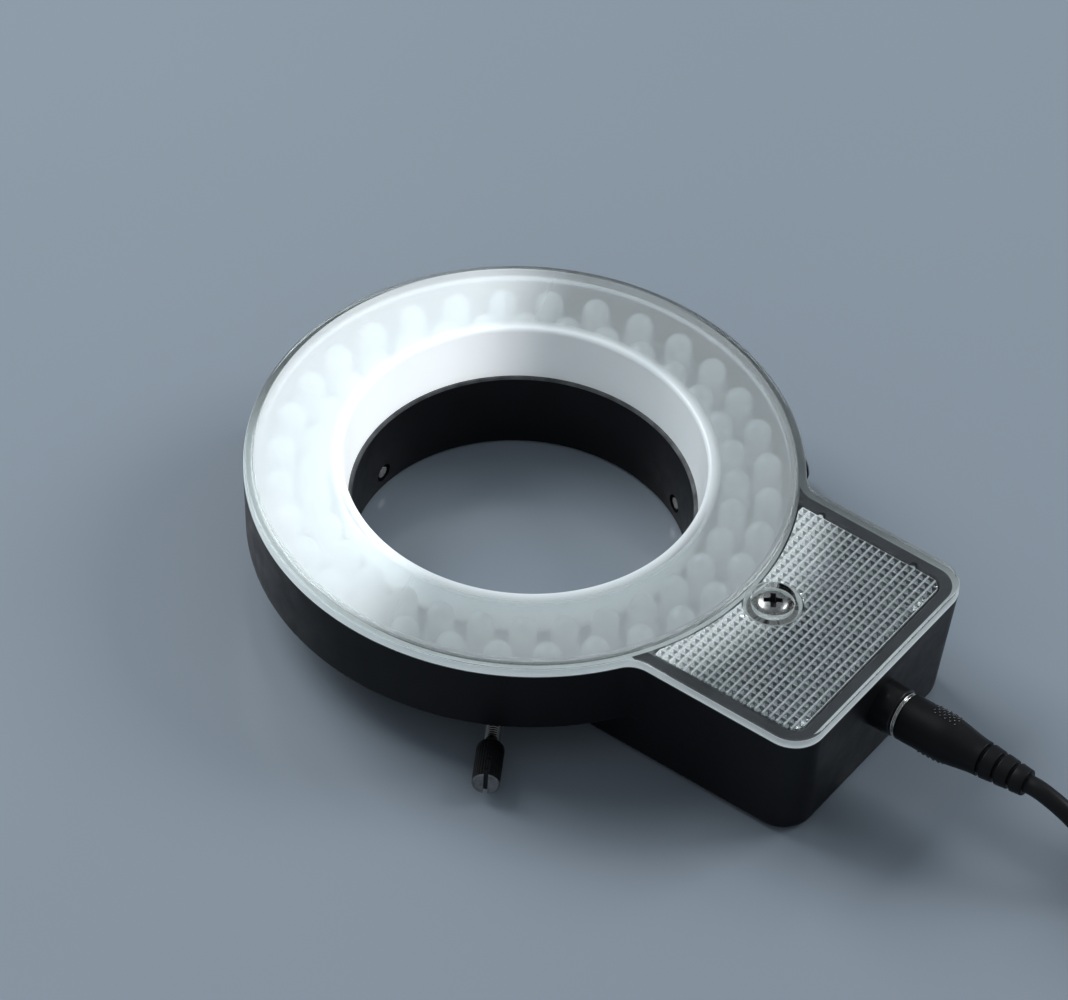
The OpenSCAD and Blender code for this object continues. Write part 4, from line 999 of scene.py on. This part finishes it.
# %% Plug barrel with its bright collar
BARREL_START, COLLAR_START = span("plug_barrel")[0].x, 81.9
GRIP_START = span("plug_barrel")[1].x
BARREL_R, BARREL_BORE, BARREL_CHAMFER, PLUG_COLLAR_R = 2.75, 2.1, 0.2, 4.1
COLLAR_BAND, COLLAR_EDGE, COLLAR_GROOVE = 0.27, 0.12, 0.45
barrel_profile = [(BARREL_BORE, GRIP_START), (BARREL_BORE, BARREL_START), (BARREL_R - BARREL_CHAMFER, BARREL_START)]
barrel_profile += [(BARREL_R, BARREL_START + BARREL_CHAMFER), (BARREL_R, COLLAR_START)]
for start, end in ((COLLAR_START, COLLAR_START + COLLAR_BAND), (GRIP_START - COLLAR_BAND, GRIP_START)):
    barrel_profile += [(PLUG_COLLAR_R - COLLAR_GROOVE, start)]
    barrel_profile += near_edge(PLUG_COLLAR_R, start, COLLAR_EDGE, 3) + far_edge(PLUG_COLLAR_R, end, COLLAR_EDGE, 3)
    barrel_profile += [(PLUG_COLLAR_R - COLLAR_GROOVE, end)]
plug_collar = turned("plug_collar", barrel_profile, steps=72, at=along_plug, ring=True)
place(plug_collar, "plug_and_cord", "nickel", "plug_barrel")

# %% Grip with its ribs
GRIP_R, RELIEF_R, RELIEF_END_R = 4.35, 3.3, 2.5
GRIP_TAPER, GRIP_END = 90.5, 99.1
GRIP_EDGE, GRIP_LEAD, GRIP_STEPS = 0.35, 0.5, 24
RIBS, RIB_PITCH, RIB_GAP, RIB_GROOVE, RIB_EDGE = 3, 3, 0.6, 0.7, 0.22
RELIEF_END = CORD_EXIT.x


def grip_radius(x):
    """Straight at first, then a smooth taper to the strain relief."""
    t = min(1, max(0, (x - GRIP_TAPER) / (GRIP_END - GRIP_TAPER)))
    return GRIP_R - (GRIP_R - RELIEF_R) * t * t * (3 - 2 * t)


def relief_radius(x):
    return RELIEF_R + (RELIEF_END_R - RELIEF_R) * (x - GRIP_END) / (RELIEF_END - GRIP_END)


first, last = GRIP_START + GRIP_LEAD, GRIP_END - RIB_EDGE
grip_xs = [first + (last - first) * i / GRIP_STEPS for i in range(GRIP_STEPS + 1)]
grip = [(0, GRIP_START)] + near_edge(GRIP_R, GRIP_START, GRIP_EDGE, 4)
grip += [(grip_radius(x), x) for x in grip_xs] + far_edge(RELIEF_R, GRIP_END, RIB_EDGE, 3)
for i in range(RIBS):
    groove, back = GRIP_END + i * RIB_PITCH, GRIP_END + (i + 1) * RIB_PITCH
    rib = groove + RIB_GAP
    grip += [(relief_radius(groove) - RIB_GROOVE, groove), (relief_radius(rib) - RIB_GROOVE, rib)]
    grip += near_edge(relief_radius(rib), rib, RIB_EDGE, 3) + far_edge(relief_radius(back), back, RIB_EDGE, 3)
grip_body = turned("grip_body", grip + [(0, RELIEF_END)], steps=72, at=along_plug)
print("grip with", RIBS, "ribs")

# %% Dots on the grip
DOT_R, DOT_SUNK, DOT_ROOT = 0.24, 0.02, 0.1
DOT_COLUMNS, DOT_ROWS, DOT_PITCH, DOT_TURN, DOT_START = 5, 6, 1.05, 9, 87.7
PATCHES = (65, 245)


def dot(x, angle):
    """A little dome on the grip's surface."""
    a = math.radians(angle)
    normal = Vector((0, math.cos(a), math.sin(a)))
    centre = Vector((x, 0, PLUG_Z)) + normal * (grip_radius(x) - DOT_SUNK)
    side = normal.cross(Vector((1, 0, 0)))
    dome = [(0, -DOT_ROOT), (DOT_R, -DOT_ROOT)] + [(DOT_R * c, DOT_R * s) for s, c in quarter(3)]
    return turned("dot", dome, steps=10,
                  at=lambda px, py, pz: centre + Vector((1, 0, 0)) * px + side * py + normal * pz)


dots = []
for patch in PATCHES:
    for j in range(DOT_ROWS):
        for i in range(DOT_COLUMNS):
            x = DOT_START + (i + 0.5 * (j % 2)) * DOT_PITCH
            dots.append(dot(x, patch + (j - (DOT_ROWS - 1) / 2) * DOT_TURN))
print(len(dots), "dots")
grip_faces = len(grip_body.data.polygons)
plug_moulding = join("plug_moulding", [grip_body] + dots)
place(plug_moulding, "plug_and_cord", "plug_rubber", "plug_grip", finishes=[FINISHES["plug_rubber"], GLOSSY_DOT])
paint(plug_moulding, lambda face: face.index >= grip_faces)

# %% [markdown]
# ## Band and adapter
#
# These lie outside the picture. A woven band holds the coil: its section is swept round a rectangle with round
# corners. The adapter is two shells that meet in a fine groove, with a ribbed gland for the cord and two round mains
# pins, sleeved at the root.

# %% Band round the coil
tie_low, tie_high = span("cord_tie")
BAND_T, BAND_CORNER, BAND_EDGE = 0.7, 3, 0.2
FLAP_NEAR, FLAP_FAR = 5, 4


def band_row(y, z, ny, nz):
    """Section of the band at a point of its path, from its inner face outwards."""
    x0, x1, e = tie_low.x, tie_high.x, BAND_EDGE
    shape = [(x0, e), (x0 + e, 0), (x1 - e, 0), (x1, e), (x1, BAND_T - e), (x1 - e, BAND_T),
             (x0 + e, BAND_T), (x0, BAND_T - e)]
    return [(x, y + ny * d, z + nz * d) for x, d in shape]


def band_path(inset, corner):
    y0, y1, z0, z1 = tie_low.y + inset, tie_high.y - inset, tie_low.z + inset, tie_high.z - inset
    path = []
    for cy, cz, start in ((y1 - corner, z0 + corner, -90), (y1 - corner, z1 - corner, 0),
                          (y0 + corner, z1 - corner, 90), (y0 + corner, z0 + corner, 180)):
        for y, z in arc(cy, cz, corner, start, start + 90, 8):
            path.append((y, z, (y - cy) / corner, (z - cz) / corner))
    return path


band_loop = skin("band_loop", [band_row(*spot) for spot in band_path(BAND_T, BAND_CORNER - BAND_T)], loop=True)
flap_y, flap_z = (tie_low.y + FLAP_NEAR, tie_high.y - FLAP_FAR), tie_high.z + HAIR_GAP
band_flap = skin("band_flap", [band_row(y, flap_z, 0, 1) for y in flap_y])
coil_band = join("coil_band", [band_loop, band_flap])
place(coil_band, "plug_and_cord", "tie_black", "cord_tie")

# %% Adapter gland
GLAND_START, GLAND_END = span("adapter_relief")[0].x, span("adapter_relief")[1].x
CASE_Z = (span("adapter_pins")[0].z + span("adapter_pins")[1].z) / 2
GLAND_R, GLAND_RIBS, GLAND_GROOVE = (2.5, 4.25), 5, 0.7
GLAND_PITCH = (GLAND_END - GLAND_START) / GLAND_RIBS


def gland_radius(x):
    return GLAND_R[0] + (GLAND_R[1] - GLAND_R[0]) * (x - GLAND_START) / (GLAND_END - GLAND_START)


gland = [(0, GLAND_START)]
for i in range(GLAND_RIBS):
    groove = GLAND_GROOVE if i < GLAND_RIBS - 1 else 0
    first, last = GLAND_START + i * GLAND_PITCH, GLAND_START + (i + 1) * GLAND_PITCH - groove
    gland += near_edge(gland_radius(first), first, RIB_EDGE, 3) + far_edge(gland_radius(last), last, RIB_EDGE, 3)
    if groove:
        gland += [(gland_radius(last) - groove, last), (gland_radius(last) - groove, last + groove)]
adapter_gland = turned("adapter_gland", gland + [(0, GLAND_END)], steps=64, at=lengthwise(CASE_Z))
place(adapter_gland, "plug_and_cord", "plug_rubber", "adapter_relief")

# %% Adapter shells
case_low, case_high = span("adapter_lower_case")[0], span("adapter_upper_case")[1]
CASE_R, CASE_EDGE, SEAM = 5, 2.5, 0.3


def case_level(inset, z):
    hw = (case_high.y - case_low.y) / 2 - inset
    return box_outline(case_low.x + inset, case_high.x - inset, hw, CASE_R - inset, z)


def case_shell(name, node, up):
    """One shell, from the groove at the seam to its rounded face."""
    seam = [(SEAM, 0), (SEAM, SEAM), (0, 2 * SEAM)]
    face = [(CASE_EDGE * (1 - c), case_high.z - CASE_Z - CASE_EDGE * (1 - s)) for s, c in quarter()]
    shell = skin(name, [case_level(inset, CASE_Z + up * h) for inset, h in seam + face])
    place(shell, "plug_and_cord", "adapter_black", node)


case_shell("adapter_lower_shell", "adapter_lower_case", -1)
case_shell("adapter_upper_shell", "adapter_upper_case", 1)

# %% Mains pins
PIN_R, SLEEVE_R, SLEEVE_L, PIN_ROOT = 2, 1.85, 10, 4
PIN_END = span("adapter_pins")[1].x
PIN_Y = span("adapter_pins")[1].y - PIN_R


def mains_pin(side):
    root, sleeve_end = case_high.x - PIN_ROOT, case_high.x + SLEEVE_L
    profile = [(0, root), (PIN_R, root), (PIN_R, case_high.x), (SLEEVE_R, case_high.x), (SLEEVE_R, sleeve_end)]
    profile += [(PIN_R, sleeve_end)] + [(PIN_R * c, PIN_END - PIN_R + PIN_R * s) for s, c in quarter(8)]
    return turned("mains_pin", profile, steps=48, at=lengthwise(CASE_Z, side * PIN_Y))


mains_pins = join("mains_pins", [mains_pin(-1), mains_pin(1)])
place(mains_pins, "plug_and_cord", "nickel", "adapter_pins", finishes=[FINISHES["nickel"], FINISHES["inlet_black"]])
paint(mains_pins, lambda face: face.center.x < (case_high.x + SLEEVE_L) * MM)

# %% [markdown]

# %% [markdown]
# ## Floor and light
#
# The lamp lies on a plain pale table with a slight gloss. A large soft light hangs behind it to the left, where the
# photograph's light comes from, with a weaker one to the right, and a pale world fills the shadows.

# %% Floor
FLOOR_SIZE = 4000
half = FLOOR_SIZE / 2
table = solid("table", [(-half, -half, 0), (half, -half, 0), (half, half, 0), (-half, half, 0)], [(0, 1, 2, 3)])
table.data.materials.append(finish("pale_table", (0.30, 0.35, 0.40), (0.32, 0.37, 0.42), (0.16, 0.24), patch=3))

# %% Lights
ROOM_COLOUR, ROOM_STRENGTH = (0.62, 0.68, 0.75, 1), 0.35


def soft_light(name, direction, distance, size, watts, colour):
    """A square area light that looks at the lamp from a direction."""
    data = bpy.data.lights.new(name, "AREA")
    data.shape = "SQUARE"
    data.size = size * MM
    data.energy = watts
    data.color = colour
    light = add_object(name, data)
    away = Vector(direction).normalized()
    light.location = away * distance * MM
    light.rotation_euler = away.to_track_quat("Z", "Y").to_euler()


soft_light("left_light", direction=(-0.85, 0.05, 0.8), distance=1500, size=900, watts=16, colour=(0.94, 0.97, 1.0))
soft_light("back_light", direction=(0.55, 0.75, 0.7), distance=1700, size=700, watts=9, colour=(0.9, 0.95, 1.0))
world = bpy.data.worlds.new("pale_room")
world.use_nodes = True
set_sockets(world.node_tree.nodes["Background"], {"Color": ROOM_COLOUR, "Strength": ROOM_STRENGTH})
scene.world = world
print("two soft lights and a pale world")
